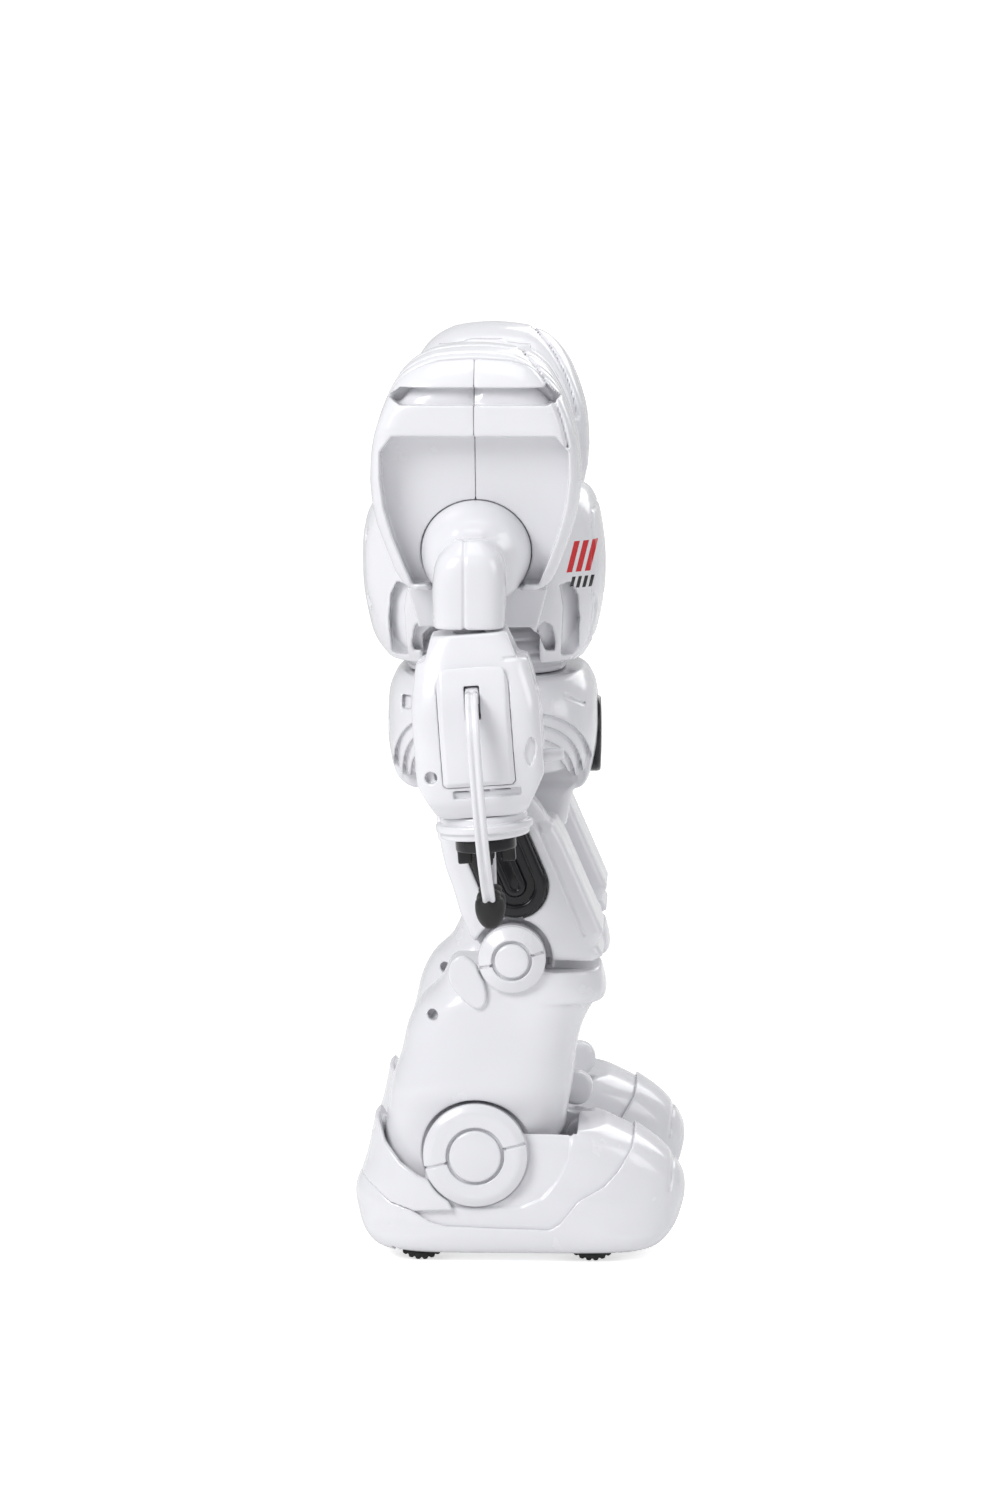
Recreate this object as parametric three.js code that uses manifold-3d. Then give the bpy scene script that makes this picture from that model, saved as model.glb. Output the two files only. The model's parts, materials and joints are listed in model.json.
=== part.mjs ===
// A 300 mm toy humanoid robot: round shoulder pads, claw hands on rubber tips, and wheeled boots.
// Millimetres, +Z up. The robot faces -Y, its left side is +X, and the floor is z = 0.
import * as THREE from "three";
import { mergeVertices } from "three/addons/utils/BufferGeometryUtils.js";
import Module from "manifold-3d";

const wasm = await Module();
wasm.setup();

// ---------- Driving dimensions ----------
const HEIGHT = 300; // floor to the crest of the shoulder pads
const BODY_SETBACK = 13; // the body's axis stands this far behind the middle of the feet
const WALL = 2.4; // wall of the moulded shells
const GAP = 0.4; // gap between neighbouring mouldings
const RUNNING_GAP = 0.5; // radial gap round a turning piece

// Joint centres, as [forward, up] from the body's axis and the floor
const HIP = [-2, 157];
const KNEE = [11, 99.9];
const ANKLE = [-0.8, 36];
const FRONT_AXLE = [37, 9.5];
const REAR_AXLE = [-18.5, 9.5];

const TORSO_HALF = 48; // half the torso's width
const SHOULDER = { x: 78, z: 232.5, tilt: 17, domeRadius: 17.3 }; // the axis tips down by tilt degrees
const ARM_X = 100; // the forearm's axis
const ELBOW = { forward: -1.2, z: 210, lean: 4.3 }; // the forearm leans forward by lean degrees
const LEG_X = 44; // middle of the thigh and shin
const FOOT_X = 42;
const WHEEL_RADIUS = 9.5;
const ANKLE_RING = 16.9;
const KNEE_RING = 10.9;

const WHITE = { color: 0xf2f2f4, roughness: 0.22, metalness: 0 };
const BLACK = { color: 0x0b0b0c, roughness: 0.2, metalness: 0 };
const RUBBER = { color: 0x101010, roughness: 0.55, metalness: 0 };
const DARK = { color: 0x202226, roughness: 0.5, metalness: 0 };
const BOARD = { color: 0x1c5a34, roughness: 0.5, metalness: 0 };
const LIGHT = { color: 0x8fd4ff, roughness: 0.1, metalness: 0 };

// ---------- Shape helpers ----------
const radians = THREE.MathUtils.degToRad;

// A manifold solid from any closed three.js geometry.
function solid(geometry) {
  const loose = geometry.index ? geometry.toNonIndexed() : geometry;
  const bare = new THREE.BufferGeometry().setAttribute("position", loose.getAttribute("position"));
  const merged = mergeVertices(bare, 1e-4);
  const corners = merged.index.array;
  const kept = [];
  for (let i = 0; i < corners.length; i += 3) {
    const [a, b, c] = [corners[i], corners[i + 1], corners[i + 2]];
    if (a !== b && b !== c && a !== c) kept.push(a, b, c);
  }
  return new wasm.Manifold(
    new wasm.Mesh({
      numProp: 3,
      vertProperties: merged.attributes.position.array,
      triVerts: new Uint32Array(kept),
    }),
  );
}

function placed(geometry, xAxis, yAxis, zAxis, origin) {
  const m = new THREE.Matrix4().makeBasis(xAxis, yAxis, zAxis).setPosition(origin);
  return solid(geometry.applyMatrix4(m));
}

const RIGHTWARD = new THREE.Vector3(1, 0, 0);
const FORWARD = new THREE.Vector3(0, -1, 0);
const UP = new THREE.Vector3(0, 0, 1);
const DOWN = new THREE.Vector3(0, 0, -1);
const LEFTWARD = new THREE.Vector3(-1, 0, 0);

const shapeOf = (outline) => new THREE.Shape(outline.map(([a, b]) => new THREE.Vector2(a, b)));

function extruded(outline, depth, bevel) {
  return new THREE.ExtrudeGeometry(shapeOf(outline), {
    depth: depth - 2 * bevel,
    bevelEnabled: bevel > 0,
    bevelThickness: bevel,
    bevelSize: bevel,
    bevelOffset: -bevel,
    bevelSegments: 1,
  }).translate(0, 0, bevel);
}

// A side outline of [forward, up] points, swept across the robot from x0 to x1.
function sideSolid(outline, x0, x1, bevel = 0) {
  return placed(extruded(outline, x1 - x0, bevel), FORWARD, UP, LEFTWARD, new THREE.Vector3(x1, 0, 0));
}

// A front outline of [x, up] points, swept forward from f0 to f1.
function frontSolid(outline, f0, f1, bevel = 0) {
  return placed(extruded(outline, f1 - f0, bevel), RIGHTWARD, UP, FORWARD, new THREE.Vector3(0, -f0, 0));
}

// A plan outline of [x, forward] points, swept down from z1 to z0.
function planSolid(outline, z0, z1, bevel = 0) {
  return placed(extruded(outline, z1 - z0, bevel), RIGHTWARD, FORWARD, DOWN, new THREE.Vector3(0, 0, z1));
}

function box(x0, x1, f0, f1, z0, z1) {
  const geometry = new THREE.BoxGeometry(x1 - x0, f1 - f0, z1 - z0);
  return solid(geometry.translate((x0 + x1) / 2, -(f0 + f1) / 2, (z0 + z1) / 2));
}

// A round bar or disc across the robot, about a [forward, up] centre.
function disc([forward, up], radius, x0, x1, sides = 16) {
  const geometry = new THREE.CylinderGeometry(radius, radius, x1 - x0, sides);
  return solid(geometry.rotateZ(Math.PI / 2).translate((x0 + x1) / 2, -forward, up));
}

// A turned piece about X from [radius, x] points, about a [forward, up] centre.
function turned([forward, up], profile, sides = 16) {
  const points = profile.map(([r, x]) => new THREE.Vector2(r, x));
  return solid(new THREE.LatheGeometry(points, sides).rotateZ(-Math.PI / 2).translate(0, -forward, up));
}

// Points of an arc about a centre, from one angle to another in degrees.
function arc([a, b], radius, from, to, steps) {
  return Array.from({ length: steps + 1 }, (_, i) => {
    const t = radians(from + ((to - from) * i) / steps);
    return [a + radius * Math.cos(t), b + radius * Math.sin(t)];
  });
}

const circle = (centre, radius, sides = 16) => arc(centre, radius, 0, 360 - 360 / sides, sides - 1);

// A stack of squarish rings. Each station is [z, back, front, half width, squareness];
// inset shrinks every ring, and is how a shell's cavity is made.
function loft(stations, { x = 0, inset = 0, rings = 10, sides = 28 } = {}) {
  const along = (pick) =>
    new THREE.CatmullRomCurve3(stations.map((s) => new THREE.Vector3(...pick(s))), false, "catmullrom");
  const spine = along(([z, back, front]) => [z, back, front]);
  const girth = along(([, , , half, square]) => [half, square, 0]);
  const vertices = [];
  const faces = [];
  for (let i = 0; i < rings; i++) {
    const t = i / (rings - 1);
    const { x: z, y: back, z: front } = spine.getPoint(t);
    const { x: half, y: square } = girth.getPoint(t);
    const level = z + (i === 0 ? inset : i === rings - 1 ? -inset : 0);
    for (let k = 0; k < sides; k++) {
      const angle = (2 * Math.PI * (k + 0.5)) / sides;
      const [c, s] = [Math.cos(angle), Math.sin(angle)];
      const px = Math.sign(c) * Math.abs(c) ** (2 / square);
      const pf = Math.sign(s) * Math.abs(s) ** (2 / square);
      const forward = (back + front) / 2 + pf * Math.max((front - back) / 2 - inset, 0.5);
      vertices.push(x + px * Math.max(half - inset, 0.5), -forward, level);
    }
  }
  for (let i = 0; i < rings - 1; i++)
    for (let k = 0; k < sides; k++) {
      const [a, b] = [i * sides + k, i * sides + ((k + 1) % sides)];
      faces.push(a, a + sides, b, b, a + sides, b + sides);
    }
  for (let k = 1; k < sides - 1; k++) {
    const top = (rings - 1) * sides;
    faces.push(0, k, k + 1, top, top + k + 1, top + k);
  }
  const geometry = new THREE.BufferGeometry()
    .setAttribute("position", new THREE.Float32BufferAttribute(vertices, 3))
    .setIndex(faces);
  return solid(geometry);
}

const FINE = { rings: 6, sides: 16 }; // outer surfaces
const COARSE = { rings: 4, sides: 10 }; // hollows
const STRAIGHT = { rings: 2, sides: 10 };

const union = (...pieces) => wasm.Manifold.union(pieces);

// ---------- Scene graph helpers ----------
function mesh(name, piece, finish) {
  const m = piece.getMesh();
  const points = new Float32Array(m.numVert * 3);
  for (let i = 0; i < m.numVert; i++)
    points.set(m.vertProperties.subarray(i * m.numProp, i * m.numProp + 3), i * 3);
  const geometry = new THREE.BufferGeometry()
    .setAttribute("position", new THREE.BufferAttribute(points, 3))
    .setIndex(new THREE.BufferAttribute(m.triVerts, 1));
  geometry.computeVertexNormals();
  const made = new THREE.Mesh(geometry, new THREE.MeshStandardMaterial(finish));
  made.name = name;
  return made;
}

const FAR = 200; // past every edge of the robot
const frontHalf = box(-FAR, FAR, GAP / 2, FAR, -10, 2 * FAR);
const rearHalf = box(-FAR, FAR, -FAR, -GAP / 2, -10, 2 * FAR);

// ---------- Torso ----------
const TORSO = [
  [189.5, -29, 31, 39, 3],
  [199, -36, 36.4, 45, 3.2],
  [211, -39, 39.2, 47.5, 3.4],
  [222, -40.2, 40, TORSO_HALF, 3.6],
  [234, -39.6, 38.8, TORSO_HALF, 3.6],
  [243, -36.5, 36.6, 45, 3.4],
  [248, -28, 32, 38, 3],
  [251, -18, 18, 24, 2.6],
];
const BATTERY_DOOR = { half: 17, z0: 207, z1: 236 };

// The chest and back have slanted flat corners in plan, and a shallow crown across the front and rear.
const torsoPlan = [
  [TORSO_HALF, -22], [TORSO_HALF, 22], [31, 38.6], [14, 40.4], [-14, 40.4], [-31, 38.6],
  [-TORSO_HALF, 22], [-TORSO_HALF, -22], [-31, -38.6], [-14, -40.4], [14, -40.4], [31, -38.6],
];

function torsoShell() {
  const outer = loft(TORSO, FINE).intersect(planSolid(torsoPlan, 180, 260));
  const cavity = loft(TORSO, { inset: WALL + 0.8, ...COARSE });
  const openBase = loft([[180, -27, 28.4, 36.6, 3.2], [198, -27, 28.4, 36.6, 3.2]], STRAIGHT);
  const archEdge = [[-19, 180], [19, 180], [19, 202], [15.5, 205.5], [-15.5, 205.5], [-19, 202]];
  const sideArch = sideSolid(archEdge, -FAR, FAR);
  const shafts = disc([0, SHOULDER.z + 9], 9, -FAR, FAR);
  const neckHole = planSolid(circle([0, 0], 9.5), 244, 256);
  let shell = outer.subtract(cavity).subtract(openBase).subtract(shafts).subtract(neckHole);
  shell = shell.subtract(sideArch.subtract(box(-30, 30, -FAR, FAR, 100, 300)));
  for (const [inner, outerEdge, top] of [[26.5, 31.5, 219], [20.6, 24, 210]])
    for (const way of [1, -1]) {
      const corners = [[inner, 194], [outerEdge, 194], [outerEdge, top - 6], [inner, top]];
      const slot = corners.map(([f, z]) => [way * f, z]);
      shell = shell.subtract(sideSolid(slot, 38, 60)).subtract(sideSolid(slot, -60, -38));
    }
  return shell;
}

// The battery door's opening in the back, widened on every side by grow, from the floor forward of it.
function batteryBay(grow, floor = -36.5) {
  const { half, z0, z1 } = BATTERY_DOOR;
  return box(-half - grow, half + grow, -FAR, floor, z0 - grow, z1 + grow);
}

function torsoMeshes() {
  const shell = torsoShell();
  const doorBody = loft(TORSO, { inset: -0.4, ...FINE }).intersect(planSolid(torsoPlan, 180, 260));
  const door = doorBody.intersect(batteryBay(0)).subtract(box(-FAR, FAR, -36.9, FAR, 0, 300));
  const back = shell.intersect(rearHalf).subtract(batteryBay(GAP)).subtract(batteryBay(-3, -30));
  return [
    mesh("chest_shell", shell.intersect(frontHalf), WHITE),
    mesh("back_shell", back, WHITE),
    mesh("battery_door", door, WHITE),
    mesh("battery_pack", box(-15, 15, -31, -17, 210, 234), DARK),
    mesh("main_circuit_board", box(-26, 26, -14, -12.4, 208, 240), BOARD),
    mesh("speaker", frontSolid(circle([0, 222], 12), 26, 32), DARK),
    mesh("shoulder_drive", box(-20, 20, -9, 9, 228, 243).add(disc([0, SHOULDER.z + 4], 4, -40, 40)), DARK),
  ];
}

// ---------- Head ----------
const HEAD = [
  [252, -17, 19, 17, 2.6],
  [257, -23.5, 24, 22.5, 2.6],
  [267, -27, 26.6, 25.5, 2.6],
  [278, -26.6, 25.4, 25.3, 2.6],
  [287, -22, 20.5, 21.5, 2.5],
  [292.5, -14, 13, 15, 2.4],
  [295, -6, 6, 7, 2.2],
];
const FACE = [
  [-19, 263], [-15, 258.5], [15, 258.5], [19, 263],
  [20.5, 276], [16, 281.5], [-16, 281.5], [-20.5, 276],
];
const EYE_X = 9;

// An eye's eight-sided outline, widened on every side by grow.
function eyeOutline(x, grow) {
  const [wide, tall, corner] = [4.5 + grow, 3.5 + grow, 1];
  const [narrow, low] = [wide - corner, tall - 2 * corner];
  const z = 270.5;
  return [
    [x - wide, z - low], [x - narrow, z - tall], [x + narrow, z - tall], [x + wide, z - low],
    [x + wide, z + low], [x + narrow, z + tall], [x - narrow, z + tall], [x - wide, z + low],
  ];
}

// The face opening's outline, scaled about its middle.
const faceOutline = (wide, tall) => FACE.map(([x, z]) => [x * wide, 270 + (z - 270) * tall]);

function headMeshes() {
  const skin = (inset) => loft(HEAD, { inset, ...FINE });
  const eye = (x, grow) => frontSolid(eyeOutline(x, grow), 12, FAR);
  const seat = frontSolid(FACE, 10, FAR).subtract(skin(1.6));
  const shell = skin(0)
    .subtract(loft(HEAD, { inset: WALL, ...COARSE }))
    .subtract(planSolid(circle([0, 0], 10.5), 250, 262))
    .subtract(seat)
    .subtract(frontSolid(faceOutline(0.9, 0.85), 5, FAR));
  const visor = skin(0.5)
    .intersect(frontSolid(faceOutline(0.98, 0.97), 8, FAR))
    .subtract(skin(1.3))
    .subtract(eye(-EYE_X, GAP))
    .subtract(eye(EYE_X, GAP));
  const lens = (x) => eye(x, 0).intersect(skin(0.2)).subtract(skin(1.3));
  const post = planSolid(circle([0, 0], 9), 245, 259).add(planSolid(circle([0, 0], 12), 258.5, 261));
  return [
    mesh("head_shell", shell, WHITE),
    mesh("face_visor", visor, BLACK),
    mesh("right_eye", lens(-EYE_X), LIGHT),
    mesh("left_eye", lens(EYE_X), LIGHT),
    mesh("neck_post", post, DARK),
  ];
}

// ---------- Shoulder pads, on the left side ----------
const shoulderPoint = new THREE.Vector3(SHOULDER.x, 0, SHOULDER.z);
const shoulderTilt = radians(SHOULDER.tilt);

// A half space outboard of the tilted recess floor, moved out along the shoulder's axis by offset.
function outboardOf(offset) {
  const geometry = new THREE.BoxGeometry(FAR, 2 * FAR, 2 * FAR).translate(FAR / 2 + offset, 0, 0);
  return solid(geometry.rotateY(shoulderTilt).translate(shoulderPoint.x, 0, shoulderPoint.z));
}

// A round bar along the tilted shoulder axis, from a to b outboard of the recess floor.
function shoulderBar(radius, a, b, sides = 16) {
  const geometry = new THREE.CylinderGeometry(radius, radius, b - a, sides).rotateZ(Math.PI / 2);
  geometry.translate((a + b) / 2, 0, 0).rotateY(shoulderTilt);
  return solid(geometry.translate(shoulderPoint.x, 0, shoulderPoint.z));
}

// Front half of the pad's edge, seen from the side, from the bottom to the crest.
const PAD_EDGE = [
  [0, 218.8], [21, 218.8], [25.4, 226], [28.4, 234], [31, 241.5], [32.5, 248.5], [33, 255.7], [32.4, 265],
  [30.8, 273], [28.7, 279.5], [25.8, 285.5], [22, 291], [17.2, 295.8], [12, 298.8], [6, 299.7], [0, HEIGHT],
];
// Front half of the window in the pad's outer face, seen from the side.
const PAD_WINDOW = [
  [0, 222.6], [19.8, 222.6], [22.4, 228.7], [26, 238], [28.5, 247.5],
  [29.6, 257], [29.2, 265.5], [25, 269.8], [0, 270.2],
];
// The pad seen from the front, as [x, up]; its outer face leans out as it rises.
const PAD_FRONT = [
  [48.6, 224], [60, 218.8], [83, 218.8], [99, 270], [100, 283], [96.5, 290],
  [88, 297], [72, HEIGHT], [60, 297.5], [52, 289], [48.6, 276],
];
// The skirt under each pad narrows downward and stands clear of the torso and the arm.
const PAD_SKIRT = { outline: [[-22.5, 220], [-19, 207], [19, 207], [22.5, 220]], x0: 56, x1: 70 };
const BROW = { z0: 280.4, z1: 285.6, half: 25, depth: 1.6 };

const mirrored = (half) => [...half, ...half.slice(1, -1).reverse().map(([f, z]) => [-f, z])];
const shrunk = (points, [cx, cz], by) =>
  points.map(([a, b]) => {
    const length = Math.hypot(a - cx, b - cz);
    return [a + ((cx - a) * by) / length, b + ((cz - b) * by) / length];
  });

function shoulderPad() {
  const edge = mirrored(PAD_EDGE);
  const outer = sideSolid(edge, 40, 110).intersect(frontSolid(PAD_FRONT, -50, 50));
  const inside = sideSolid(shrunk(edge, [0, 258], WALL + 0.6), 40, 110).intersect(
    frontSolid(shrunk(PAD_FRONT, [74, 256], WALL + 0.6), -50, 50),
  );
  const window = mirrored(PAD_WINDOW);
  const pocketWalls = sideSolid(shrunk(window, [0, 246], -2.4), 40, 120).intersect(outboardOf(-WALL));
  const pocket = sideSolid(window, 40, 120).intersect(outboardOf(0));
  const browCut = box(94, 120, -BROW.half, BROW.half, BROW.z0, BROW.z1);
  const browFloor = frontSolid(shrunk(PAD_FRONT, [74, 256], BROW.depth), -50, 50);
  const hole = shoulderBar(SHOULDER.domeRadius + RUNNING_GAP, -6, 40);
  const shaftHole = disc([0, SHOULDER.z + 9], 9, 40, 60);
  return outer
    .subtract(inside.subtract(pocketWalls))
    .subtract(pocket)
    .subtract(browCut.subtract(browFloor))
    .subtract(hole)
    .subtract(shaftHole);
}

function shoulderMeshes(side) {
  const pad = shoulderPad();
  const cover = pad.intersect(outboardOf(-5));
  const skirt = sideSolid(PAD_SKIRT.outline, PAD_SKIRT.x0, PAD_SKIRT.x1, 1);
  return [
    mesh(`${side}_shoulder_housing`, pad.add(skirt).subtract(outboardOf(-5 - GAP)), WHITE),
    mesh(`${side}_shoulder_cover_front`, cover.intersect(frontHalf), WHITE),
    mesh(`${side}_shoulder_cover_rear`, cover.intersect(rearHalf), WHITE),
  ];
}

// ---------- Arms, on the left side ----------
const ARM_TUBE = [
  [211, -12.4, 10, 10.5, 3.2],
  [216, -12.6, 10, 10.8, 3.2],
  [226, -12.6, 10.2, 10.8, 3],
  [234, -10.5, 8.6, 9, 2.6],
  [238.2, -5.5, 4, 5, 2.2],
];

// The domed shoulder disc, its spindle, and the tube that bends down from it to the elbow.
function upperArmMesh(side) {
  const dome = new THREE.SphereGeometry(SHOULDER.domeRadius, 16, 7).rotateZ(Math.PI / 2);
  const ball = solid(dome.rotateY(shoulderTilt).translate(SHOULDER.x, 0, SHOULDER.z));
  const flange = shoulderBar(SHOULDER.domeRadius, -4, 0.5);
  const spindle = shoulderBar(6, -26, 0, 16).subtract(box(0, 52, -50, 50, 0, 300));
  const tube = loft(ARM_TUBE, { x: ARM_X, ...FINE });
  const spigot = planSolid(circle([ARM_X, ELBOW.forward], 4.8), 203.5, 213);
  const shoulderDome = ball.intersect(outboardOf(-2));
  return mesh(`${side}_upper_arm`, union(shoulderDome, flange, spindle, tube, spigot), WHITE);
}

// The forearm's own frame has its origin at the elbow: x outward, z up its long axis.
const FOREARM = [
  [-57.5, -12.5, 12.5, 13.5, 3],
  [-54.5, -16.5, 16.5, 15.8, 3],
  [-50, -19.8, 19.8, 17.8, 3.4],
  [-38, -20.6, 20.6, 19, 3.6],
  [-26, -20.4, 20.4, 18.8, 3.6],
  [-19, -19.2, 19.2, 17.6, 3.4],
  [-12.5, -17, 17, 15.6, 3.2],
  [-8, -14, 14, 13, 3],
  [0, -10.6, 10.6, 10.4, 2.8],
];
const COVER = [
  [-10, -46], [-9, -47], [14, -47], [15, -46],
  [15, -14], [13, -12.6], [-8, -12.6], [-10, -14.6],
];
const FINGER_PIVOT = [16.2, -19];
const FINGER_SPINE = [
  [16.2, -19], [22.5, -19.6], [26.5, -24], [29.2, -32],
  [29.8, -45], [26.6, -60], [19, -73], [6.6, -85],
];
const FINGER_END = [5.4, -86];
const PEG = { z: -41, radius: 2 };
const COLLAR_RADIUS = 14.9;

function alongForearm(radius, z0, z1, sides = 16) {
  return planSolid(circle([0, 0], radius, sides), z0, z1);
}

// A bar across the forearm, front to back, about an [x, z] centre.
function pin([x, z], radius, half, sides = 16) {
  return frontSolid(circle([x, z], radius, sides), -half, half);
}

// The finger's side: its curved spine widened to a band, in [x, z].
function fingerOutline(half) {
  const spine = new THREE.CatmullRomCurve3(FINGER_SPINE.map(([x, z]) => new THREE.Vector3(x, z, 0)));
  const steps = 7;
  const [left, right] = [[], []];
  for (let i = 0; i <= steps; i++) {
    const p = spine.getPoint(i / steps);
    const t = spine.getTangent(i / steps);
    left.push([p.x - t.y * half, p.y + t.x * half]);
    right.push([p.x + t.y * half, p.y - t.x * half]);
  }
  return [...left, ...right.reverse()];
}

function fingerMeshes(side, which) {
  const flip = which === "outer" ? 1 : -1;
  const turnedTo = ([x, z]) => [flip * x, z];
  const band = frontSolid(fingerOutline(2).map(turnedTo), -2, 2);
  const eye = pin(turnedTo(FINGER_PIVOT), 2.9, 2);
  const trunnion = pin(turnedTo(FINGER_PIVOT), 1.2, 4.2, 12);
  const tongue = pin(turnedTo(FINGER_END), 2.2, 2, 12);
  const finger = union(band, eye, trunnion, tongue);
  const tipBody = new THREE.SphereGeometry(1, 12, 7).scale(4.4, 4.7, 7);
  const tip = solid(tipBody.translate(flip * 5.3, 0, -87.2)).intersect(box(-40, 40, -20, 20, -96, -81.5));
  const bite = frontSolid(fingerOutline(2 + GAP).map(turnedTo), -2 - GAP, 2 + GAP);
  const socket = pin(turnedTo(FINGER_END), 2.2 + GAP, 2 + GAP, 12);
  return [
    mesh(`${side}_${which}_finger`, finger, WHITE),
    mesh(`${side}_${which}_fingertip`, tip.subtract(bite).subtract(socket), RUBBER),
  ];
}

function forearmGroup(side) {
  const outer = loft(FOREARM, FINE);
  const cavity = loft(FOREARM, { inset: WALL, ...COARSE }).subtract(box(-40, 40, -40, 40, -8, 10));
  const slot = (x0, x1) => box(x0, x1, -2.5, 2.5, -27, -13.5);
  const coverBed = sideSolid(COVER, 16.4, 30).subtract(box(0, 17, -40, 40, -60, 0));
  const pegHole = placedForward(PEG.radius + RUNNING_GAP, PEG.z, 10, 40);
  const neckHole = alongForearm(5.6, -12, 5, 20);
  const shell = outer
    .subtract(cavity)
    .subtract(coverBed)
    .subtract(box(10, 20, -6.5, 6.5, -29, -12.9))
    .subtract(slot(-30, -10))
    .subtract(pegHole)
    .subtract(neckHole)
    .subtract(box(-6, 6, -6, 6, -70, -52));
  const innerEars = earsAt(-FINGER_PIVOT[0], FINGER_PIVOT[1], -17.6, -13.6);
  const innerPin = pin([-FINGER_PIVOT[0], FINGER_PIVOT[1]], 1.45, 10, 12);
  const skin = loft(FOREARM, { inset: -1.1, ...FINE });
  const coverPlate = sideSolid(shrunk(COVER, [2.5, -30], GAP), 17.4, 30).intersect(skin);
  const cover = coverPlate.subtract(slot(10, 40)).add(earsAt(FINGER_PIVOT[0], FINGER_PIVOT[1], 13.6, 17.8));
  const collar = union(
    alongForearm(COLLAR_RADIUS - 1.2, -60.6, -57.9),
    alongForearm(COLLAR_RADIUS, -62.4, -60.4),
    alongForearm(COLLAR_RADIUS - 0.8, -64.8, -62.2),
    alongForearm(4.5, -58, -54, 16),
  );
  const prongs = [45, 135, 225, 315].map((angle) => {
    const [x, f] = [7 * Math.cos(radians(angle)), 7 * Math.sin(radians(angle))];
    return box(x - 2, x + 2, f - 2, f + 2, -73.5, -68);
  });
  const hub = union(alongForearm(9.6, -69.2, -65.2, 24), ...prongs);
  const peg = union(placedForward(PEG.radius, PEG.z, 13, 26.6), placedForward(3.4, PEG.z, 13, 15));
  const group = new THREE.Group();
  group.position.set(ARM_X, -ELBOW.forward, ELBOW.z);
  group.rotation.x = -radians(ELBOW.lean);
  group.add(
    mesh(`${side}_forearm_shell`, shell.add(innerEars).subtract(innerPin), WHITE),
    mesh(`${side}_forearm_cover`, cover, WHITE),
    mesh(`${side}_wrist_collar`, collar, WHITE),
    mesh(`${side}_hand_hub`, hub, BLACK),
    mesh(`${side}_release_peg`, peg, WHITE),
    ...fingerMeshes(side, "outer"),
    ...fingerMeshes(side, "inner"),
  );
  return group;
}

// A round bar pointing forward in the forearm's frame.
function placedForward(radius, z, f0, f1) {
  return frontSolid(circle([0, z], radius), f0, f1);
}

// Two ears that hold a finger's trunnions.
function earsAt(x, z, x0, x1) {
  const ear = (f) => box(x0, x1, f - 0.9, f + 0.9, z - 3, z + 3);
  return union(ear(-4), ear(4)).subtract(pin([x, z], 1.2 + RUNNING_GAP * 0.5, 10, 12));
}

// ---------- Waist and pelvis ----------
const WAIST = [
  [184, -24, 25, 32, 3],
  [190, -25, 26, 34, 3.2],
  [200, -24.6, 25.6, 33.5, 3.2],
  [207, -22, 23, 30, 3],
];
const PELVIS = [
  [149, -25.5, 33.4, 42, 3],
  [154, -29.5, 35.4, 45, 3.2],
  [164, -31.6, 37.4, 47, 3.4],
  [174, -31.8, 37.6, 47, 3.4],
  [182, -31.2, 36.6, 44.5, 3.2],
  [188, -28.6, 33.6, 39, 3],
];
const BELLY = { z: 164.9, radius: 13.2 };

// One arch of the hip's rib stack, as a closed side outline down to the pelvis's lower edge.
function hipArch(halfLength, height, foot = 146) {
  const points = Array.from({ length: 7 }, (_, i) => {
    const t = (Math.PI * i) / 6;
    const [c, s] = [Math.cos(t), Math.sin(t)];
    return [3 + halfLength * Math.sign(c) * Math.abs(c) ** 0.75, foot + height * s ** 0.75];
  });
  return [...points, [3 - halfLength, foot - 6], [3 + halfLength, foot - 6]];
}

function pelvisShell() {
  const outer = loft(PELVIS, FINE);
  const cavity = loft(PELVIS, { inset: WALL, ...COARSE }).add(
    loft([[140, -22, 30, 37, 3], [195, -22, 30, 33, 3]], STRAIGHT),
  );
  let shell = outer.subtract(cavity);
  const cheeks = (x0, x1) => union(box(x0, x1, -20, 22, 149.5, 181), box(-x1, -x0, -20, 22, 149.5, 181));
  shell = shell.add(cheeks(36, 43).intersect(outer));
  for (const [x0, x1] of [[43.6, 60], [-60, -43.6]]) {
    shell = shell.subtract(sideSolid(hipArch(30, 28.5), x0, x1));
  }
  const ribs = [[26.5, 25.5, 24.6, 23.4], [21.4, 21.4, 19.4, 19.2], [16.2, 17.2, 14.2, 15]];
  for (const [a, h, inA, inH] of ribs) {
    const inner = sideSolid(hipArch(inA, inH), -FAR, FAR);
    const band = (x0, x1) => sideSolid(hipArch(a, h), x0, x1).subtract(inner);
    const aboveHem = box(-FAR, FAR, -50, 50, 149.5, 190);
    shell = shell.add(union(band(43.2, 46), band(-46, -43.2)).intersect(aboveHem));
  }
  const crotch = sideSolid([[-18, 150], [-12, 132], [14, 127], [27.4, 137], [30, 150.5]], -22, 22, 2);
  const bellyHole = frontSolid(circle([0, BELLY.z], BELLY.radius), 20, FAR);
  return shell
    .add(crotch.intersect(box(-22, 22, -18, 30, 120, 149.9)))
    .add(box(-21, 21, -16, 27, 147, 151))
    .add(box(-21, 21, -31, 35.5, 149.2, 151.6).intersect(outer))
    .subtract(bellyHole.intersect(box(-FAR, FAR, 20, FAR, 151.7, 300)))
    .subtract(disc(HIP, 4 + RUNNING_GAP, -60, 60));
}

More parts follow.
